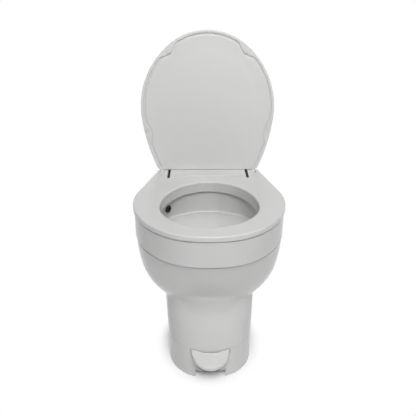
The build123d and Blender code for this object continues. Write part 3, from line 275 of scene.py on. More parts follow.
def turned(name: str, profile: Sequence[Pair], origin: Sequence[float], along: Sequence[float],
           steps: int = 64) -> bpy.types.Object:
    """Turn a closed profile round an axis.

    A point at radius r and distance d along the axis goes to origin + d * along + r * spoke,
    for each spoke of a full turn.

    Args:
        name: The object's name.
        profile: Radius and distance along the axis of each point.
        origin: The axis's start.
        along: The axis's direction.
        steps: Spokes in the full turn.

    Returns:
        The turned object.
    """
    axis = Vector(along).normalized()
    side = axis.orthogonal().normalized()
    up = axis.cross(side)
    spokes = np.outer(np.cos(turns_of(steps)), side) + np.outer(np.sin(turns_of(steps)), up)
    shape = np.asarray(profile, float)
    points = (
        np.asarray(origin, float)
        + shape[:, None, 1, None] * np.asarray(axis)[None, None, :]
        + shape[:, None, 0, None] * spokes[None, :, :]
    )
    return tube_mesh(name, points * MM, None)


def rounded_section(points: Sequence[Pair], radius: float, steps: int = 4) -> np.ndarray:
    """Round every corner of a closed section.

    Each corner is replaced with points on a quadratic curve between the places at the given
    distance before and after it.

    Args:
        points: Corners in order.
        radius: Distance from each corner to where its curve starts.
        steps: Pieces in each curve.

    Returns:
        The rounded section's points.
    """
    corners = np.asarray(points, float)

    def reach(other: np.ndarray) -> np.ndarray:
        """The curve's start towards the other corner, at less than half of the way."""
        run = other - corners
        length = np.linalg.norm(run, axis=1, keepdims=True)
        return corners + run / length * np.minimum(radius, CORNER_SHARE * length)

    start, end = reach(np.roll(corners, 1, 0)), reach(np.roll(corners, -1, 0))
    t = np.linspace(0, 1, steps + 1)[None, :, None]
    curve = (1 - t) ** 2 * start[:, None] + 2 * t * (1 - t) * corners[:, None] + t**2 * end[:, None]
    return curve.reshape(-1, 2)


def even_loop(points: np.ndarray, count: int) -> np.ndarray:
    """Space points evenly along a closed plan curve.

    Args:
        points: The curve's points, in rows of x and y, without the first one repeated.
        count: How many points to give back.

    Returns:
        Points at equal steps of the curve's length.
    """
    closed = np.concatenate([points, points[:1]])
    travel = np.concatenate([[0.0], np.cumsum(np.linalg.norm(np.diff(closed, axis=0), axis=1))])
    at = np.linspace(0, travel[-1], count, endpoint=False)
    return np.stack([np.interp(at, travel, closed[:, k]) for k in (0, 1)], -1)


def outward_of(loop: np.ndarray) -> np.ndarray:
    """Work out a plan loop's unit normals, each square to the chord between both neighbours.

    Args:
        loop: Points against the clock, in rows of x and y.

    Returns:
        The outward normals, in the same rows.
    """
    along = np.roll(loop, -1, 0) - np.roll(loop, 1, 0)
    along /= np.linalg.norm(along, axis=1, keepdims=True)
    return np.stack([along[:, 1], -along[:, 0]], -1)


def distance_to(points: np.ndarray, line: np.ndarray) -> np.ndarray:
    """Least distance from plan points to an open chain of straight runs.

    Args:
        points: Places in rows of x and y.
        line: The chain's corners, in rows of x and y.

    Returns:
        One distance for each place.
    """
    start, run = line[:-1], np.diff(line, axis=0)
    best = np.full(len(points), np.inf)
    for begin, step in zip(start, run):
        share = np.clip(((points - begin) @ step) / (step @ step), 0.0, 1.0)
        best = np.minimum(best, np.linalg.norm(points - begin - share[:, None] * step, axis=1))
    return best


# Finishes


class Bench:
    """A material's node tree, with short calls for the nodes that the finishes use."""

    def __init__(self, name: str) -> None:
        """Start a material with a Principled shader and an output.

        Args:
            name: The material's name.
        """
        self.material = bpy.data.materials.new(name)
        self.material.use_nodes = True
        self.tree = self.material.node_tree
        self.tree.nodes.clear()
        self.shader = self.add("ShaderNodeBsdfPrincipled")
        output = self.add("ShaderNodeOutputMaterial")
        self.link(self.shader.outputs["BSDF"], output.inputs["Surface"])
        self.place = self.add("ShaderNodeTexCoord").outputs["Object"]

    def add(self, kind: str) -> bpy.types.Node:
        """Add a node of a kind."""
        return self.tree.nodes.new(kind)

    def link(self, source: bpy.types.NodeSocket, target: bpy.types.NodeSocket) -> None:
        """Join two sockets."""
        self.tree.links.new(source, target)

    def noise(self, scale: float, detail: float = 2.0,
              stretch: Triple = (1.0, 1.0, 1.0)) -> bpy.types.NodeSocket:
        """Noise of a scale per metre on object coordinates.

        Args:
            scale: Blobs in a metre.
            detail: Octaves.
            stretch: Scale along each axis.

        Returns:
            The noise's value socket.
        """
        mapping = self.add("ShaderNodeMapping")
        mapping.inputs["Scale"].default_value = stretch
        self.link(self.place, mapping.inputs["Vector"])
        node = self.add("ShaderNodeTexNoise")
        node.inputs["Scale"].default_value = scale
        node.inputs["Detail"].default_value = detail
        self.link(mapping.outputs["Vector"], node.inputs["Vector"])
        return node.outputs["Fac"]

    def spread(self, source: bpy.types.NodeSocket, low: float, high: float,
               start: float = 0.3, stop: float = 0.7) -> bpy.types.NodeSocket:
        """Map a value from start..stop to low..high, clamped.

        Args:
            source: The value.
            low: Result at start.
            high: Result at stop.
            start: Lower end of the input.
            stop: Upper end of the input.

        Returns:
            The mapped value socket.
        """
        node = self.add("ShaderNodeMapRange")
        ends = {"From Min": start, "From Max": stop, "To Min": low, "To Max": high}
        for socket, value in ends.items():
            node.inputs[socket].default_value = value
        self.link(source, node.inputs["Value"])
        return node.outputs["Result"]

    def mixed(self, share: bpy.types.NodeSocket, one: Triple, two: Triple) -> bpy.types.NodeSocket:
        """Mix two tones by a share.

        Args:
            share: 0 gives the first tone and 1 the second.
            one: First tone.
            two: Second tone.

        Returns:
            The colour socket.
        """
        node = self.add("ShaderNodeMix")
        node.data_type = "RGBA"
        first, second = [socket for socket in node.inputs if socket.type == "RGBA"]
        first.default_value, second.default_value = (*one, 1.0), (*two, 1.0)
        self.link(share, node.inputs["Factor"])
        return next(socket for socket in node.outputs if socket.type == "RGBA")

    def relief(self, height: bpy.types.NodeSocket, depth: float, strength: float,
               edge_radius: float = 0.0) -> None:
        """Raise the surface by a height map, on edges that catch light as if they were rounded.

        Args:
            height: The height map.
            depth: The map's full height, in metres.
            strength: Share of the slope that counts.
            edge_radius: Radius of the edges' rounding, in metres, or nought for none.
        """
        node = self.add("ShaderNodeBump")
        node.inputs["Distance"].default_value = depth
        node.inputs["Strength"].default_value = strength
        self.link(height, node.inputs["Height"])
        if edge_radius:
            edge = self.add("ShaderNodeBevel")
            edge.samples = EDGE_SAMPLES
            edge.inputs["Radius"].default_value = edge_radius
            self.link(edge.outputs["Normal"], node.inputs["Normal"])
        self.link(node.outputs["Normal"], self.shader.inputs["Normal"])

    def fix(self, **values: float) -> None:
        """Set constant shader inputs, with spaces in their names written as underscores."""
        for name, value in values.items():
            self.shader.inputs[name.replace("_", " ")].default_value = value


@dataclass(frozen=True)
class MouldedPlastic:
    """Injection-moulded plastic: an even tone, a fine orange peel and faint flow marks."""

    name: str
    tone: float
    shade: float = 0.985
    cool: float = 0.992
    gloss: Pair = (0.17, 0.23)
    peel_scale: float = 850.0
    peel_depth: float = 0.000012
    peel_strength: float = 0.3
    edge: float = 0.0025
    flow_scale: float = 9.0
    flow_stretch: Triple = (1.0, 1.0, 2.2)
    handled_scale: float = 34.0

    def build(self) -> bpy.types.Material:
        """Make the material."""
        bench = Bench(self.name)
        bench.fix(IOR=1.5, Specular_IOR_Level=0.42)
        clean = (self.tone, self.tone, self.tone * self.cool)
        marked = tuple(value * self.shade for value in clean)
        flow = bench.spread(bench.noise(self.flow_scale, 4.0, self.flow_stretch), 0.0, 1.0)
        bench.link(bench.mixed(flow, clean, marked), bench.shader.inputs["Base Color"])
        handled = bench.noise(self.handled_scale, 5.0)
        bench.link(bench.spread(handled, *self.gloss), bench.shader.inputs["Roughness"])
        bench.relief(bench.noise(self.peel_scale, 2.0), self.peel_depth, self.peel_strength, self.edge)
        return bench.material


@dataclass(frozen=True)
class SoftRubber:
    """Moulded rubber: matte, with a dusty grain and scuffed high spots."""

    name: str
    tone: float
    dust: float
    rough: Pair = (0.55, 0.75)
    dust_scale: float = 60.0
    scuff_scale: float = 120.0
    grain_scale: float = 900.0
    grain_depth: float = 0.00006
    grain_strength: float = 0.5

    def build(self) -> bpy.types.Material:
        """Make the material."""
        bench = Bench(self.name)
        bench.fix(Specular_IOR_Level=0.35)
        share = bench.spread(bench.noise(self.dust_scale, 6.0), 0.0, 0.6)
        shades = bench.mixed(share, (self.tone,) * 3, (self.dust,) * 3)
        bench.link(shades, bench.shader.inputs["Base Color"])
        scuffs = bench.spread(bench.noise(self.scuff_scale, 3.0), *self.rough)
        bench.link(scuffs, bench.shader.inputs["Roughness"])
        bench.relief(bench.noise(self.grain_scale, 2.0), self.grain_depth, self.grain_strength)
        return bench.material


@dataclass(frozen=True)
class BrushedSteel:
    """Drawn steel: fine lines along one axis and a slight stain."""

    name: str
    tone: float
    stain: float
    rough: Pair = (0.24, 0.42)
    stain_scale: float = 40.0
    line_scale: float = 1400.0
    line_stretch: Triple = (0.06, 1.0, 1.0)
    line_depth: float = 0.00002
    line_strength: float = 0.4

    def build(self) -> bpy.types.Material:
        """Make the material."""
        bench = Bench(self.name)
        bench.fix(Metallic=1.0)
        share = bench.spread(bench.noise(self.stain_scale, 4.0), 0.0, 0.7)
        shades = bench.mixed(share, (self.tone,) * 3, (self.stain,) * 3)
        bench.link(shades, bench.shader.inputs["Base Color"])
        lines = bench.noise(self.line_scale, 2.0, self.line_stretch)
        bench.link(bench.spread(lines, *self.rough), bench.shader.inputs["Roughness"])
        bench.relief(lines, self.line_depth, self.line_strength)
        return bench.material


class Finish(Enum):
    """The finishes of the toilet's pieces, by their slot in the record."""

    CASING = "casing"
    SEAT = "seat_plastic"
    BOWL = "bowl_plastic"
    PEDAL = "pedal_plastic"
    SOFT_WHITE = "soft_white"
    SEAL = "seal_rubber"
    MECHANISM = "mechanism_plastic"
    GEAR = "gear_plastic"
    STEEL = "steel"
    HOSE = "hose_rubber"
    VALVE = "valve_plastic"


FINISHES: dict[Finish, MouldedPlastic | SoftRubber | BrushedSteel] = {
    Finish.CASING: MouldedPlastic("moulded_casing", 0.69),
    Finish.SEAT: MouldedPlastic("moulded_seat", 0.71),
    Finish.BOWL: MouldedPlastic("moulded_bowl", 0.76, gloss=(0.14, 0.2)),
    Finish.PEDAL: MouldedPlastic("moulded_pedal", 0.74, gloss=(0.24, 0.32)),
    Finish.SOFT_WHITE: SoftRubber("soft_bumper", 0.66, 0.70),
    # Black seal rubber, also worn by the spray nozzle and the slot pads as painted shade.
    Finish.SEAL: SoftRubber("black_seal_and_painted_shade", 0.012, 0.04),
    Finish.MECHANISM: MouldedPlastic(
        "dark_mechanism", 0.022, shade=1.3, cool=1.05, gloss=(0.4, 0.55),
        peel_scale=700.0, peel_depth=0.00006, edge=0.0005),
    Finish.GEAR: MouldedPlastic(
        "gear_resin", 0.55, shade=0.92, cool=0.88, gloss=(0.38, 0.5),
        peel_scale=600.0, peel_depth=0.00004, edge=0.0004),
    Finish.STEEL: BrushedSteel("drawn_steel", 0.60, 0.49),
    Finish.HOSE: SoftRubber("hose_rubber", 0.018, 0.045),
    Finish.VALVE: MouldedPlastic(
        "valve_resin", 0.012, shade=1.5, cool=1.05, gloss=(0.3, 0.42),
        peel_scale=500.0, peel_depth=0.00005, edge=0.0004),
}

# Small pieces given the black seal finish whatever their slot: on the spray nozzle the black is painted
# shade for the dark hole round it, and the hinge spacers are black as well
BLACK_TRIM_AND_PAINTED_SHADE = ("spray_nozzle", "hinge_spacers")


@dataclass
class Wardrobe:
    """Builds each finish once and puts it on pieces."""

    made: dict[Finish, bpy.types.Material] = field(default_factory=dict)

    def material(self, finish: Finish) -> bpy.types.Material:
        """The material of a finish, built at its first use."""
        if finish not in self.made:
            self.made[finish] = FINISHES[finish].build()
        return self.made[finish]

    def dress(self, piece: bpy.types.Object, finish: Finish) -> None:
        """Give a piece one finish all over."""
        piece.data.materials.clear()
        piece.data.materials.append(self.material(finish))

    def place(self, piece: bpy.types.Object, body: str, finish: Finish,
              stands_for: Iterable[str] = ()) -> None:
        """Dress a new piece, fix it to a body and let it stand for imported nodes.

        Args:
            piece: The new piece.
            body: The body it rides on.
            finish: Its finish.
            stands_for: The nodes that it replaces.
        """
        self.dress(piece, finish)
        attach(piece, body)
        nodes = list(stands_for)
        if nodes:
            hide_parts(*nodes)
        LOG.info("%s rides on %s: %d faces", piece.name, body, len(piece.data.polygons))

    def dress_nodes(self, nodes: dict[str, bpy.types.Object], record: dict) -> None:
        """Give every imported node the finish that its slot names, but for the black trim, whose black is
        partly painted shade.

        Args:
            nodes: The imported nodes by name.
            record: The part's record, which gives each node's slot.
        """
        for entry in record["subparts"]:
            name = entry["node"]
            # The spray nozzle's black seal finish is painted shade for the dark hole round it.
            finish = Finish.SEAL if name in BLACK_TRIM_AND_PAINTED_SHADE else Finish(entry["material_slot"])
            self.dress(nodes[name], finish)


# Casing


@dataclass(frozen=True)
class EggLevels:
    """Egg-shaped plan sections at rising heights: each size times the share at each level."""

    low: float
    high: float
    half_width: float
    front: float
    rear: float
    centre: float
    level_shares: tuple[float, ...]
    width_shares: tuple[float, ...]
    front_shares: tuple[float, ...]
    rear_shares: tuple[float, ...]
    centre_shares: tuple[float, ...]
    front_power: float
    rear_power: float

    def radius(self, height: np.ndarray, turn: np.ndarray) -> np.ndarray:
        """Distance from the upright axis to the section along a direction.

        The section is where |x / half width| and |(y - centre) / reach|, each raised to the
        section's power, add up to one. The distance is found by halving an interval.

        Args:
            height: Heights.
            turn: Directions in radians, with nought along +X.

        Returns:
            The distances.
        """
        share = (height - self.low) / (self.high - self.low)
        width = self.half_width * smooth_through(share, self.level_shares, self.width_shares)
        front = self.front * smooth_through(share, self.level_shares, self.front_shares)
        rear = self.rear * smooth_through(share, self.level_shares, self.rear_shares)
        centre = self.centre * smooth_through(share, self.level_shares, self.centre_shares)
        low, high = np.zeros_like(height), np.full_like(height, 2 * max(self.half_width, self.rear))
        for _ in range(HALVINGS):
            middle = (low + high) / 2
            x, y = middle * np.cos(turn), middle * np.sin(turn) - centre
            reach = np.where(y < 0, front + centre, rear - centre)
            power = np.where(y < 0, self.front_power, self.rear_power)
            inside = np.abs(x / width) ** power + np.abs(y / reach) ** power < 1
            low, high = np.where(inside, middle, low), np.where(inside, high, middle)
        return (low + high) / 2


@dataclass
class Casing:
    """The moulded outside: bowl and pedestal in one skin with a soft fillet at the front.

    The levels and draws of the seam's groove are shares of its depth, and those of the lip
    under the shadow line are shares of its rounding.
    """

    seam: float = 74.0
    seam_depth: float = 0.5
    wall: float = 4.0
    shadow_gap: float = 3.4
    shadow_depth: float = 3.4
    lip_round: float = 0.8
    groove_levels: tuple[float, ...] = (0.0, 0.3, 1.0, 1.5)
    groove_draws: tuple[float, ...] = (1.0, 0.9, 0.3, 0.0)
    lip_levels: tuple[float, ...] = (1.0, 0.6, 0.3, 0.1, 0.0)
    lip_draws: tuple[float, ...] = (0.0, 0.08, 0.27, 0.55, 1.0)
    body_start: float = 3.0
    body_stop: float = 1.5
    side_blend: float = 5.0
    front_blend: float = 40.0
    forward_start: float = 0.72
    column_end: float = 200.0
    column_fade: float = 60.0
    columns: int = 320
    rows: int = 170
    inner_stride: int = 2
    boss_radius: float = 18.0
    boss_bore: float = 12.0
    boss_x: float = -77.5
    boss_z: float = 109.0
    boss_start: float = 100.0
    boss_face: float = 122.0
    boss_round: float = 1.2
    bowl: EggLevels = EggLevels(
        low=110.0, high=331.0, half_width=188.0, front=165.5, rear=205.0, centre=38.0,
        level_shares=(0.0, 0.09, 0.181, 0.226, 0.317, 0.407, 0.507, 0.633, 0.769, 0.896, 1.0),
        width_shares=(0.16, 0.351, 0.511, 0.588, 0.706, 0.799, 0.877, 0.935, 0.970, 0.991, 1.0),
        front_shares=(0.181, 0.314, 0.447, 0.495, 0.574, 0.644, 0.716, 0.804, 0.891, 0.952, 1.0),
        rear_shares=(0.195, 0.4, 0.566, 0.624, 0.690, 0.751, 0.812, 0.883, 0.944, 0.983, 1.0),
        centre_shares=(0.13, 0.24, 0.32, 0.34, 0.42, 0.47, 0.52, 0.62, 0.76, 0.89, 1.0),
        front_power=2.1, rear_power=2.3)
    column: EggLevels = EggLevels(
        low=74.0, high=215.0, half_width=109.0, front=147.0, rear=120.0, centre=-46.0,
        level_shares=(0.0, 0.18, 0.40, 0.61, 0.79, 1.0),
        width_shares=(1.0, 1.017, 1.032, 1.050, 1.067, 1.094),
        front_shares=(1.0, 0.946, 0.871, 0.789, 0.738, 0.680),
        rear_shares=(1.0, 1.0, 1.0, 1.0, 1.0, 1.0),
        centre_shares=(1.0, 0.87, 0.72, 0.48, 0.32, 0.22),
        front_power=2.1, rear_power=5.0)

    def outside(self, height: np.ndarray, turn: np.ndarray) -> np.ndarray:
        """Distance from the upright axis to the skin.

        The bowl and the column are joined with a fillet that is wide at the front and nearly
        a crease at the sides. It widens where the direction's forward share passes its start.
        Above the column's end only the bowl counts.

        Args:
            height: Heights.
            turn: Directions in radians.

        Returns:
            The distances.
        """
        bowl, column = self.bowl.radius(height, turn), self.column.radius(height, turn)
        column = column - self.column_fade * eased((height - self.column_end) / self.column_fade)
        forward = eased((-np.sin(turn) - self.forward_start) / (1 - self.forward_start))
        blend = self.side_blend + (self.front_blend - self.side_blend) * forward
        return joined(bowl, column, blend)

    def build_skin(self) -> bpy.types.Object:
        """Make the skin: its outside, its inside one wall further in, and its two edges.

        The rows start at the seam, whose shallow groove draws them in, and end in a neck that
        leaves a shadow line under the rim. The inside has every second row.

        Returns:
            The casing's skin.
        """
        top = self.bowl.high
        neck = top - self.shadow_gap
        groove = self.seam + self.seam_depth * np.array(self.groove_levels)
        body = np.linspace(self.seam + self.body_start, neck - self.lip_round * self.body_stop, self.rows)
        lip = neck - self.lip_round * np.array(self.lip_levels)
        rows = np.concatenate([groove, body, lip, [neck, top]])
        draw = np.concatenate([
            self.seam_depth * np.array(self.groove_draws),
            np.zeros(len(body)),
            self.lip_round * np.array(self.lip_draws),
            np.full(2, self.shadow_depth),
        ])
        height, turn = np.meshgrid(rows, turns_of(self.columns), indexing="ij")
        outside, inward = self.outside(height, turn), slice(None, None, -self.inner_stride)
        radius = np.concatenate([outside - draw[:, None], outside[inward] - self.wall])
        level = np.concatenate([height, height[inward]])
        angle = np.concatenate([turn, turn[inward]])
        rings = np.stack([radius * np.cos(angle), radius * np.sin(angle), level], -1)
        return tube_mesh("casing_skin", rings * MM, None)

    def build_boss(self) -> bpy.types.Object:
        """Make the boss round the water inlet, a rounded ring that stands out of the rear.

        Returns:
            The boss.
        """
        corners = [
            (self.boss_bore, self.boss_start),
            (self.boss_radius, self.boss_start),
            (self.boss_radius, self.boss_face),
            (self.boss_bore, self.boss_face),
        ]
        section = rounded_section(corners, self.boss_round)
        return turned("inlet_boss", section, (self.boss_x, 0.0, self.boss_z), (0.0, 1.0, 0.0))

    def build(self, wardrobe: Wardrobe) -> None:
        """Make the casing's pieces and dress them."""
        wardrobe.place(self.build_skin(), "toilet_body", Finish.CASING, ("bowl_shell", "pedestal_column"))
        wardrobe.place(self.build_boss(), "toilet_body", Finish.CASING)


# Lid


@dataclass(frozen=True)
class LidOutline:
    """The lid's plan when shut: three tangent arcs a side and a straight rear edge."""

    front: float = 171.7
    nose_radius: float = 167.2
    nose_deg: float = 37.1
    corner_radius: float = 220.6
    corner_deg: float = 97.6
    flank_radius: float = 505.0
    flank_deg: float = 114.0
    rear: float = 214.2
    rear_round: float = 9.0
    steps: int = 60
    bend_steps: int = 8
    chain_stride: int = 4

    def side(self) -> np.ndarray:
        """The right side from the front tip to the end of the last arc.

        A point at turn a on an arc lies at the arc's centre + radius * (sin a, -cos a), and
        each centre lies on the line through the last one and the place where the arcs meet.

        Returns:
            Rows of x and y.
        """
        radii = (self.nose_radius, self.corner_radius, self.flank_radius)
        stops = np.radians([0.0, self.nose_deg, self.corner_deg, self.flank_deg])
        centre = np.array([0.0, self.nose_radius - self.front])
        runs = []
        for k, radius in enumerate(radii):
            if k:
                step = radii[k - 1] - radius
                centre = centre + step * np.array([math.sin(stops[k]), -math.cos(stops[k])])
            turn = np.linspace(stops[k], stops[k + 1], self.steps)
            runs.append(centre + radius * np.stack([np.sin(turn), -np.cos(turn)], -1))
        return np.concatenate([runs[0], runs[1][1:], runs[2][1:]])

    def flank_end(self) -> np.ndarray:
        """Work out where the straight flank would meet the rear edge.

        Returns:
            The place's x and y.
        """
        last = self.side()[-1]
        lean = math.radians(self.flank_deg)
        return np.array([last[0] + (self.rear - last[1]) / math.tan(lean), self.rear])

    def loop(self, count: int) -> np.ndarray:
        """Work out the whole outline against the clock, with its rear corners rounded.

        Args:
            count: Points in the outline.

        Returns:
            Evenly spaced points in rows of x and y.
        """
        right, corner = self.side(), self.flank_end()
        flank = (corner - right[-1]) / np.linalg.norm(corner - right[-1])
        start, end = corner - flank * self.rear_round, corner - np.array([self.rear_round, 0.0])
        t = np.linspace(0, 1, self.bend_steps + 1)[:, None]
        bend = (1 - t) ** 2 * start + 2 * t * (1 - t) * corner + t**2 * end
        half = np.concatenate([right, bend])
        mirrored = half[:0:-1] * np.array([-1.0, 1.0])
        return even_loop(np.concatenate([half, mirrored]), count)

    def open_chain(self) -> np.ndarray:
        """Join both sides over the nose and run them on past the rear edge.

        Returns:
            The chain's corners, for distances from the lip.
        """
        right, corner = self.side(), self.flank_end()
        beyond = corner + (corner - right[-1])
        half = np.concatenate([right[::self.chain_stride], right[-1:], [beyond]])
        return np.concatenate([half[:0:-1] * np.array([-1.0, 1.0]), half])


@dataclass(frozen=True)
class Land:
    """A pair of widened places of the lip: a circle in the shut lid's plan, and its mirror."""

    x: float
    y: float
    radius: float


@dataclass
class Lid:
    """The open lid: a lip with four lands, a soft groove, a raised egg and a rounded back.

    The inner face has a band of rings beside the lip, close rings over the lands, and wider
    ones up to a small gap round the middle.
    """

    outline: LidOutline = LidOutline()
    hinge_y: float = 229.0
    hinge_z: float = 400.0
    plane: float = 414.0
    thickness: float = 16.0
    open_deg: float = 97.0
    lip: float = 6.2
    groove_middle: float = 3.0
    groove_end: float = 7.2
    groove_depth: float = 4.2
    panel_drop: float = 0.6
    lands: tuple[Land, ...] = (Land(131.3, -145.9, 43.0), Land(216.6, 115.9, 53.0))
    land_soften: float = 5.0
    egg_half_width: float = 136.0
    egg_front: float = -120.0
    egg_rear: float = 207.0
    egg_middle: float = 40.0
    egg_rise: float = 1.2
    egg_crown: float = 3.0
    egg_soften: float = 0.09
    egg_front_power: float = 2.1
    egg_rear_power: float = 3.6
    crown_least: float = -0.6
    middle_y: float = 20.0
    front_edge: float = 1.6
    front_edge_steps: int = 5
    back_edge: float = 7.0
    back_edge_steps: int = 9
    back_crown: float = 2.0
    back_rings: int = 15
    band: float = 12.0
    band_rings: int = 24
    land_share: float = 0.2
    land_rings: int = 26
    far_rings: int = 21
    middle_gap: float = 0.02
    smooth_over: int = 28
    columns: int = 720
    lug_inner: float = 128.5
    lug_outer: float = 139.5
    lug_radius: float = 9.0
    lug_sink: float = 3.0
    lug_reach: float = 6.0
    lug_round: float = 2.0
    lug_bevel: float = 1.0
    lug_arc_steps: int = 16
    lug_points: int = 120

    def tipped(self, points: np.ndarray) -> np.ndarray:
        """Turn points from the shut lid's place to the open one, about the hinge's axis.

        Args:
            points: Places on the shut lid.

        Returns:
            The same places on the open lid.
        """
        turn = math.radians(-self.open_deg)
        y, z = points[..., 1] - self.hinge_y, points[..., 2] - self.hinge_z
        back = self.hinge_y + y * math.cos(turn) - z * math.sin(turn)
        up = self.hinge_z + y * math.sin(turn) + z * math.cos(turn)
        return np.stack([points[..., 0], back, up], -1)

    def past_lip(self, plan: np.ndarray) -> np.ndarray:
        """Distance in from the lip's inner edge, negative on the lip and its lands.

        It is the lesser of two values, softened where they are close: the distance from the
        outline less the lip's width, and the distance from a land's middle less its radius.

        Args:
            plan: Places in rows of x and y.

        Returns:
            One distance for each place.
        """
        inside = distance_to(plan, self.outline.open_chain()) - self.lip
        for land in self.lands:
            for side in (1.0, -1.0):
                beyond = np.hypot(plan[:, 0] - side * land.x, plan[:, 1] - land.y) - land.radius
                inside = -joined(-inside, -beyond, self.land_soften)
        return inside

    def rise(self, plan: np.ndarray) -> np.ndarray:
        """How far the inner face stands out from the lip's plane.

        The groove is a valley that falls fast from the lip and rises slowly to the panel. The
        egg is where |x / half width| and |y / reach|, each to a power, add up to less than one,
        with a soft step at its edge and a crown of one less the sum of both squares.

        Args:
            plan: Places in rows of x and y.

        Returns:
            Heights towards the seat when the lid is shut.
        """
        past = self.past_lip(plan)
        fall = eased(past / self.groove_middle)
        climb = eased((past - self.groove_middle) / (self.groove_end - self.groove_middle))
        depth = -self.groove_depth * fall + (self.groove_depth - self.panel_drop) * climb
        along = plan[:, 1] - self.egg_middle
        reach = np.where(along < 0, self.egg_middle - self.egg_front, self.egg_rear - self.egg_middle)
        power = np.where(along < 0, self.egg_front_power, self.egg_rear_power)
        total = np.abs(plan[:, 0] / self.egg_half_width) ** power + np.abs(along / reach) ** power
        edge = total ** (1 / power)
        step = eased((1 + self.egg_soften - edge) / (2 * self.egg_soften))
        swell = 1 - (plan[:, 0] / self.egg_half_width) ** 2 - (along / reach) ** 2
        crown = self.egg_crown * np.clip(swell, self.crown_least, 1.0)
        return depth + (self.egg_rise + crown) * step

    def inward_of(self, outward: np.ndarray) -> np.ndarray:
        """Average the directions in from the outline, so that rings don't fold at a corner.

        Args:
            outward: The outline's normals.

        Returns:
            Unit directions, each the mean over its neighbours.
        """
        reach = self.smooth_over // 2
        wrapped = np.concatenate([outward[-reach:], outward, outward[:reach]])
        even = np.ones(2 * reach + 1) / (2 * reach + 1)
        inward = -np.stack([np.convolve(wrapped[:, k], even, "valid") for k in (0, 1)], -1)
        return inward / np.linalg.norm(inward, axis=1, keepdims=True)

    def inner_face(self, loop: np.ndarray, outward: np.ndarray, middle: np.ndarray) -> np.ndarray:
        """Work out the inner face's rings, from the middle to the rim.

        The rings beside the lip keep their distance from the outline, and the others shrink
        towards the middle.

        Args:
            loop: The outline.
            outward: The outline's normals.
            middle: The middle of the face.

        Returns:
            The rings' points, with depths that grow away from the seat.
        """
        first = loop - outward * self.front_edge
        steps = np.linspace(0.0, self.band, self.band_rings)[:, None, None]
        near = first + self.inward_of(outward) * steps
        land = np.linspace(0.0, self.land_share, self.land_rings + 1)[1:]
        far = 1 - (1 - self.land_share) * np.linspace(1, self.middle_gap, self.far_rings + 1)[1:]
        shares = np.concatenate([land, far])[:, None, None]
        face = np.concatenate([near, middle + (near[-1] - middle) * (1 - shares)])[::-1]
        depth = -self.rise(face.reshape(-1, 2)).reshape(face.shape[:2])
        return np.concatenate([face, depth[..., None]], -1)

    def rim(self, loop: np.ndarray, outward: np.ndarray) -> np.ndarray:
        """Work out the rim's rings: a quarter round at the front and a wider one at the back.

        At turn a of the front's quarter round, the ring lies radius * (1 - sin a) in from the
        outline and radius * (1 - cos a) past the face. The back's mirrors it.

        Args:
            loop: The outline.
            outward: The outline's normals.

        Returns:
            The rings' points.
        """
        turn = np.radians(np.linspace(0, 90, self.front_edge_steps + 1))[1:]
        lead = self.front_edge * np.stack([1 - np.sin(turn), 1 - np.cos(turn)], -1)
        turn = np.radians(np.linspace(0, 90, self.back_edge_steps + 1))
        trail = self.back_edge * np.stack([1 - np.cos(turn), np.sin(turn) - 1], -1)
        trail[:, 1] += self.thickness
        return np.stack([
            np.concatenate([loop - outward * inset, np.full((len(loop), 1), level)], -1)
            for inset, level in np.concatenate([lead, trail])
        ])

    def back(self, last: np.ndarray, middle: np.ndarray) -> np.ndarray:
        """Work out the crowned back's rings.

        The crown stands out by its height * (1 - r * r), where r is the share of the way from
        the middle to the rim.

        Args:
            last: The rim's last ring, in rows of x and y.
            middle: The middle of the back.

        Returns:
            The rings' points, from the rim to the middle.
        """
        shares = np.linspace(0, 1 - self.middle_gap, self.back_rings + 1)[1:, None, None]
        plan = middle + (last - middle) * (1 - shares)
        depth = self.thickness + self.back_crown * (1 - (1 - shares) ** 2)
        return np.concatenate([plan, np.broadcast_to(depth, (*plan.shape[:2], 1))], -1)

    def build_skin(self) -> bpy.types.Object:
        """Make the closed skin: the inner face, its rounded rim and the crowned back.

        Returns:
            The lid's skin.
        """
        loop = self.outline.loop(self.columns)
        outward = outward_of(loop)
        middle = np.array([0.0, self.middle_y])
        rim = self.rim(loop, outward)
        face, back = self.inner_face(loop, outward, middle), self.back(rim[-1, :, :2], middle)
        rings = np.concatenate([face, rim, back])
        tip = -self.rise(middle[None, :])[0]
        poles = np.array([[*middle, tip], [*middle, self.thickness + self.back_crown]])
        for part in (rings, poles):
            part[..., 2] += self.plane
        return tube_mesh("lid_skin", self.tipped(rings) * MM, tuple(self.tipped(poles) * MM))

    def build_lug(self, name: str, low: float, high: float) -> bpy.types.Object:
        """Make one hinge lug: a rounded plate from the lid's rear edge down round the pin.

        Its side view is a round end about the hinge that widens into the lid, and its sides
        are drawn in at both faces so that the edges are round.

        Args:
            name: The lug's name.
            low: Its lesser x.
            high: Its greater x.

        Returns:
            The lug.
        """
        radius, hinge_y = self.lug_radius, self.hinge_y
        turn = np.radians(np.linspace(-180, 0, self.lug_arc_steps + 1))
        arc = np.stack([hinge_y + radius * np.cos(turn), self.hinge_z + radius * np.sin(turn)], -1)
        top, rear = self.plane + self.thickness - self.lug_sink, self.outline.rear
        over = np.array([
            [hinge_y + radius, self.plane - 2.0],
            [hinge_y + 4.0, self.plane + 5.0],
            [rear - 1.0, top],
            [rear - self.lug_reach, top],
            [rear - self.lug_reach, self.plane + 3.0],
            [hinge_y - radius, self.plane + 1.0],
        ])
        corners = np.concatenate([arc, over])
        shape = even_loop(rounded_section(corners, self.lug_round, 3), self.lug_points)
        bend = (hinge_y - 4.0, self.plane + 3.0)
        rings, poles = plate_rings(shape, low, high, self.lug_bevel, bend)
        return tube_mesh(name, self.tipped(rings) * MM, tuple(self.tipped(poles) * MM))

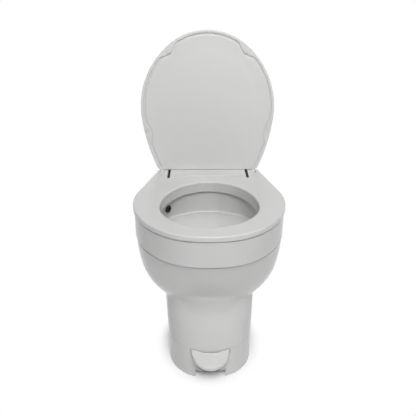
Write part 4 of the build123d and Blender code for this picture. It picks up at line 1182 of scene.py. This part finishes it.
    def build(self, wardrobe: Wardrobe) -> None:
        """Make the lid's pieces and dress them."""
        wardrobe.place(self.build_skin(), "lid", Finish.SEAT, ("lid_shell", "lid_liner"))
        inner, outer = self.lug_inner, self.lug_outer
        for name, low, high in (("lid_lug_right", inner, outer), ("lid_lug_left", -outer, -inner)):
            wardrobe.place(self.build_lug(name, low, high), "lid", Finish.SEAT)


# Pedal


@dataclass
class Tread:
    """The pedal's tread, grown so that only a fine line is left between it and its pocket."""

    growth: float = 0.8
    lower_growth: float = 0.8
    lower_start: float = 0.65
    lower_fade: float = 0.3
    merge_gap: float = 0.01
    sharp_angle: float = 0.5

    def build(self, wardrobe: Wardrobe, nodes: dict[str, bpy.types.Object]) -> None:
        """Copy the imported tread, merge its points and move each level along its normal.

        The lower half moves further, since it leaves the pocket as the pedal goes down.

        Args:
            wardrobe: Dresses the tread.
            nodes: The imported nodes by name.
        """
        node = nodes["pedal_tread"]
        mesh = node.data.copy()
        mesh.transform(node.matrix_world)
        work = bmesh.new()
        work.from_mesh(mesh)
        bmesh.ops.remove_doubles(work, verts=work.verts, dist=self.merge_gap * MM)
        work.to_mesh(mesh)
        work.free()
        count = len(mesh.vertices)
        points, normals = np.empty(count * 3), np.empty(count * 3)
        mesh.vertices.foreach_get("co", points)
        mesh.vertex_normals.foreach_get("vector", normals)
        height = points[2::3, None]
        share = (height - height.min()) / np.ptp(height)
        move = self.growth + self.lower_growth * eased((self.lower_start - share) / self.lower_fade)
        sideways = normals.reshape(-1, 3) * np.array([1.0, 1.0, 0.0]) * move * MM
        mesh.vertices.foreach_set("co", points + sideways.ravel())
        mesh.update()
        mesh.set_sharp_from_angle(angle=self.sharp_angle)
        tread = bpy.data.objects.new("tread_skin", mesh)
        bpy.context.scene.collection.objects.link(tread)
        wardrobe.place(tread, "pedal", Finish.PEDAL, ("pedal_tread",))


@dataclass
class Spring:
    """The pedal's return spring, copied whole and fixed to the body, though the real one shortens towards
    its foot as the pedal goes down.
    """

    kept_share: float = 0.3

    def build(self, wardrobe: Wardrobe, nodes: dict[str, bpy.types.Object]) -> None:
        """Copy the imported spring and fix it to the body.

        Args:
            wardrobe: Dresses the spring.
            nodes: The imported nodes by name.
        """
        node = nodes["return_spring"]
        mesh = node.data.copy()
        mesh.transform(node.matrix_world)
        spring = bpy.data.objects.new("spring_coil", mesh)
        bpy.context.scene.collection.objects.link(spring)
        wardrobe.place(spring, "toilet_body", Finish.STEEL, ("return_spring",))
        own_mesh(spring)


# Hinge


@dataclass
class HingeFillers:
    """Black pads that close the slots beside the hinge block and stand as painted shade for the dark
    slots, and ribs behind the seat's lugs.
    """

    slot_low: float = 109.6
    slot_high: float = 115.6
    rib_high: float = 127.6
    front: float = 244.0
    rear: float = 257.0
    bottom: float = 396.5
    top: float = 411.6
    edge_round: float = 2.0
    face_round: float = 0.6
    points: int = 64

    def build(self, wardrobe: Wardrobe) -> None:
        """Make a black pad of painted shade and a rib on each side.

        Args:
            wardrobe: Dresses the pieces.
        """
        corners = [
            (self.front, self.bottom),
            (self.rear, self.bottom),
            (self.rear, self.top),
            (self.front, self.top),
        ]
        shape = even_loop(rounded_section(corners, self.edge_round), self.points)
        # The slot pads are black as painted shade for the dark slots; the ribs wear the seat's finish.
        runs = (("slot_shade_pad", self.slot_low, self.slot_high, Finish.SEAL),
                ("hinge_rib", self.slot_high, self.rib_high, Finish.SEAT))
        for name, low, high, finish in runs:
            for side, ends in (("right", (low, high)), ("left", (-high, -low))):
                rings, poles = plate_rings(shape, *ends, self.face_round)
                piece = tube_mesh(f"{name}_{side}", rings * MM, tuple(poles * MM))
                wardrobe.place(piece, "toilet_body", finish)


# Scene


@dataclass(frozen=True)
class Viewpoint:
    """The camera at the photograph's angle."""

    position: Triple = (-0.02224, -1.08543, 0.90564)
    forward: Triple = (0.01566, 0.90687, -0.42112)
    focal_pixels: float = 480.5
    frame_pixels: float = 416.0
    sensor: float = 36.0

    def build(self) -> None:
        """Make the camera and set it as the scene's own."""
        data = bpy.data.cameras.new("photo_view")
        data.sensor_width = self.sensor
        data.lens = self.focal_pixels / self.frame_pixels * self.sensor
        data.clip_start, data.clip_end = 0.01, 50.0
        camera = bpy.data.objects.new("photo_view", data)
        camera.location = self.position
        camera.rotation_mode = "QUATERNION"
        camera.rotation_quaternion = Vector(self.forward).to_track_quat("-Z", "Y")
        bpy.context.scene.collection.objects.link(camera)
        bpy.context.scene.camera = camera


@dataclass(frozen=True)
class SoftLamp:
    """A square soft lamp that looks at a point."""

    name: str
    place: Triple
    target: Triple
    size: float
    power: float

    def build(self) -> None:
        """Make the lamp."""
        data = bpy.data.lights.new(self.name, "AREA")
        data.shape, data.size, data.energy = "SQUARE", self.size, self.power
        lamp = bpy.data.objects.new(self.name, data)
        lamp.location = self.place
        lamp.rotation_mode = "QUATERNION"
        lamp.rotation_quaternion = (Vector(self.target) - Vector(self.place)).to_track_quat("-Z", "Y")
        bpy.context.scene.collection.objects.link(lamp)


def white_ray(tree: bpy.types.NodeTree) -> bpy.types.NodeSocket:
    """Tell rays from the camera, from gloss and through glass from the others.

    Args:
        tree: The node tree that reads it.

    Returns:
        A socket that is one for those rays and nought for the others.
    """
    rays = tree.nodes.new("ShaderNodeLightPath")
    seen: bpy.types.NodeSocket = rays.outputs["Is Camera Ray"]
    for name in ("Is Glossy Ray", "Is Transmission Ray"):
        larger = tree.nodes.new("ShaderNodeMath")
        larger.operation = "MAXIMUM"
        tree.links.new(seen, larger.inputs[0])
        tree.links.new(rays.outputs[name], larger.inputs[1])
        seen = larger.outputs[0]
    return seen


@dataclass
class Studio:
    """A pale floor, a white surround and soft lamps."""

    surround: float = 0.10
    floor_reach: float = 6.0
    floor_tone: float = 0.93
    base_middle: Triple = (0.0, -0.0135, 0.0)
    base_reach: Triple = (0.109, 0.1335, 1.0)
    white_start: float = 0.86
    white_stop: float = 1.36
    lamps: tuple[SoftLamp, ...] = (
        SoftLamp("front_high", (0.1, -1.6, 2.2), (0.0, 0.0, 0.3), 1.1, 34.0),
        SoftLamp("overhead", (0.25, -0.7, 2.3), (0.0, 0.0, 0.3), 1.5, 9.0),
        SoftLamp("front_right", (1.5, -1.7, 1.3), (0.0, 0.0, 0.3), 1.0, 1.5),
        SoftLamp("front_left", (-1.6, -1.5, 1.1), (0.0, 0.0, 0.3), 1.0, 0.8),
        SoftLamp("right", (1.0, -0.3, 1.9), (0.0, 0.0, 0.3), 0.8, 2.6),
        SoftLamp("back", (-0.5, 2.3, 0.5), (0.0, 0.0, 0.4), 0.8, 5.0),
    )

    def build_world(self) -> None:
        """Light the scene evenly, and show white to the camera, in gloss and through glass."""
        world = bpy.data.worlds.new("white_surround")
        world.use_nodes = True
        tree = world.node_tree
        tree.nodes.clear()
        even, white = tree.nodes.new("ShaderNodeBackground"), tree.nodes.new("ShaderNodeBackground")
        even.inputs["Color"].default_value = (1.0, 1.0, 1.0, 1.0)
        even.inputs["Strength"].default_value = self.surround
        white.inputs["Color"].default_value = (1.0, 1.0, 1.0, 1.0)
        white.inputs["Strength"].default_value = 1.0
        mix, output = tree.nodes.new("ShaderNodeMixShader"), tree.nodes.new("ShaderNodeOutputWorld")
        tree.links.new(white_ray(tree), mix.inputs["Fac"])
        tree.links.new(even.outputs[0], mix.inputs[1])
        tree.links.new(white.outputs[0], mix.inputs[2])
        tree.links.new(mix.outputs[0], output.inputs["Surface"])
        bpy.context.scene.world = world

    def build_floor(self) -> None:
        """Lay a floor that keeps the object's shadow and turns white away from it.

        The share of white is the distance from the middle of the base in terms of the base's
        reach, eased from its start to its stop. It counts for rays from the camera, gloss and
        glass alone.
        """
        signs = np.array([[-1.0, -1.0, 0.0], [1.0, -1.0, 0.0], [1.0, 1.0, 0.0], [-1.0, 1.0, 0.0]])
        floor = mesh_object("studio_floor", signs * self.floor_reach, [[0, 1, 2, 3]])
        material = bpy.data.materials.new("studio_floor")
        material.use_nodes = True
        tree = material.node_tree
        tree.nodes.clear()
        matte, glow = tree.nodes.new("ShaderNodeBsdfDiffuse"), tree.nodes.new("ShaderNodeEmission")
        matte.inputs["Color"].default_value = (self.floor_tone,) * 3 + (1.0,)
        glow.inputs["Color"].default_value = (1.0, 1.0, 1.0, 1.0)
        glow.inputs["Strength"].default_value = 1.0
        place, length = tree.nodes.new("ShaderNodeTexCoord"), tree.nodes.new("ShaderNodeVectorMath")
        length.operation = "LENGTH"
        shifted, scaled = tree.nodes.new("ShaderNodeVectorMath"), tree.nodes.new("ShaderNodeVectorMath")
        shifted.operation, scaled.operation = "SUBTRACT", "DIVIDE"
        shifted.inputs[1].default_value = self.base_middle
        scaled.inputs[1].default_value = self.base_reach
        tree.links.new(place.outputs["Object"], shifted.inputs[0])
        tree.links.new(shifted.outputs["Vector"], scaled.inputs[0])
        tree.links.new(scaled.outputs["Vector"], length.inputs[0])
        away = tree.nodes.new("ShaderNodeMapRange")
        away.interpolation_type = "SMOOTHSTEP"
        away.inputs["From Min"].default_value = self.white_start
        away.inputs["From Max"].default_value = self.white_stop
        tree.links.new(length.outputs["Value"], away.inputs["Value"])
        share = tree.nodes.new("ShaderNodeMath")
        share.operation = "MULTIPLY"
        tree.links.new(away.outputs["Result"], share.inputs[0])
        tree.links.new(white_ray(tree), share.inputs[1])
        mix, output = tree.nodes.new("ShaderNodeMixShader"), tree.nodes.new("ShaderNodeOutputMaterial")
        tree.links.new(share.outputs[0], mix.inputs["Fac"])
        tree.links.new(matte.outputs[0], mix.inputs[1])
        tree.links.new(glow.outputs[0], mix.inputs[2])
        tree.links.new(mix.outputs[0], output.inputs["Surface"])
        floor.data.materials.append(material)

    def build(self) -> None:
        """Make the world, the floor and the lamps, with a plain view transform."""
        bpy.context.scene.view_settings.view_transform = "Standard"
        self.build_world()
        self.build_floor()
        for lamp in self.lamps:
            lamp.build()
        LOG.info("studio: %d lamps", len(self.lamps))


def main() -> None:
    """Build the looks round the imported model, in order."""
    logging.basicConfig(level=logging.INFO, format="%(name)s: %(message)s")
    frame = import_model()
    Viewpoint().build()
    Studio().build()
    wardrobe = Wardrobe()
    wardrobe.dress_nodes(frame["nodes"], frame["record"])
    Casing().build(wardrobe)
    Lid().build(wardrobe)
    Tread().build(wardrobe, frame["nodes"])
    Spring().build(wardrobe, frame["nodes"])
    HingeFillers().build(wardrobe)


if __name__ == "__main__":
    main()
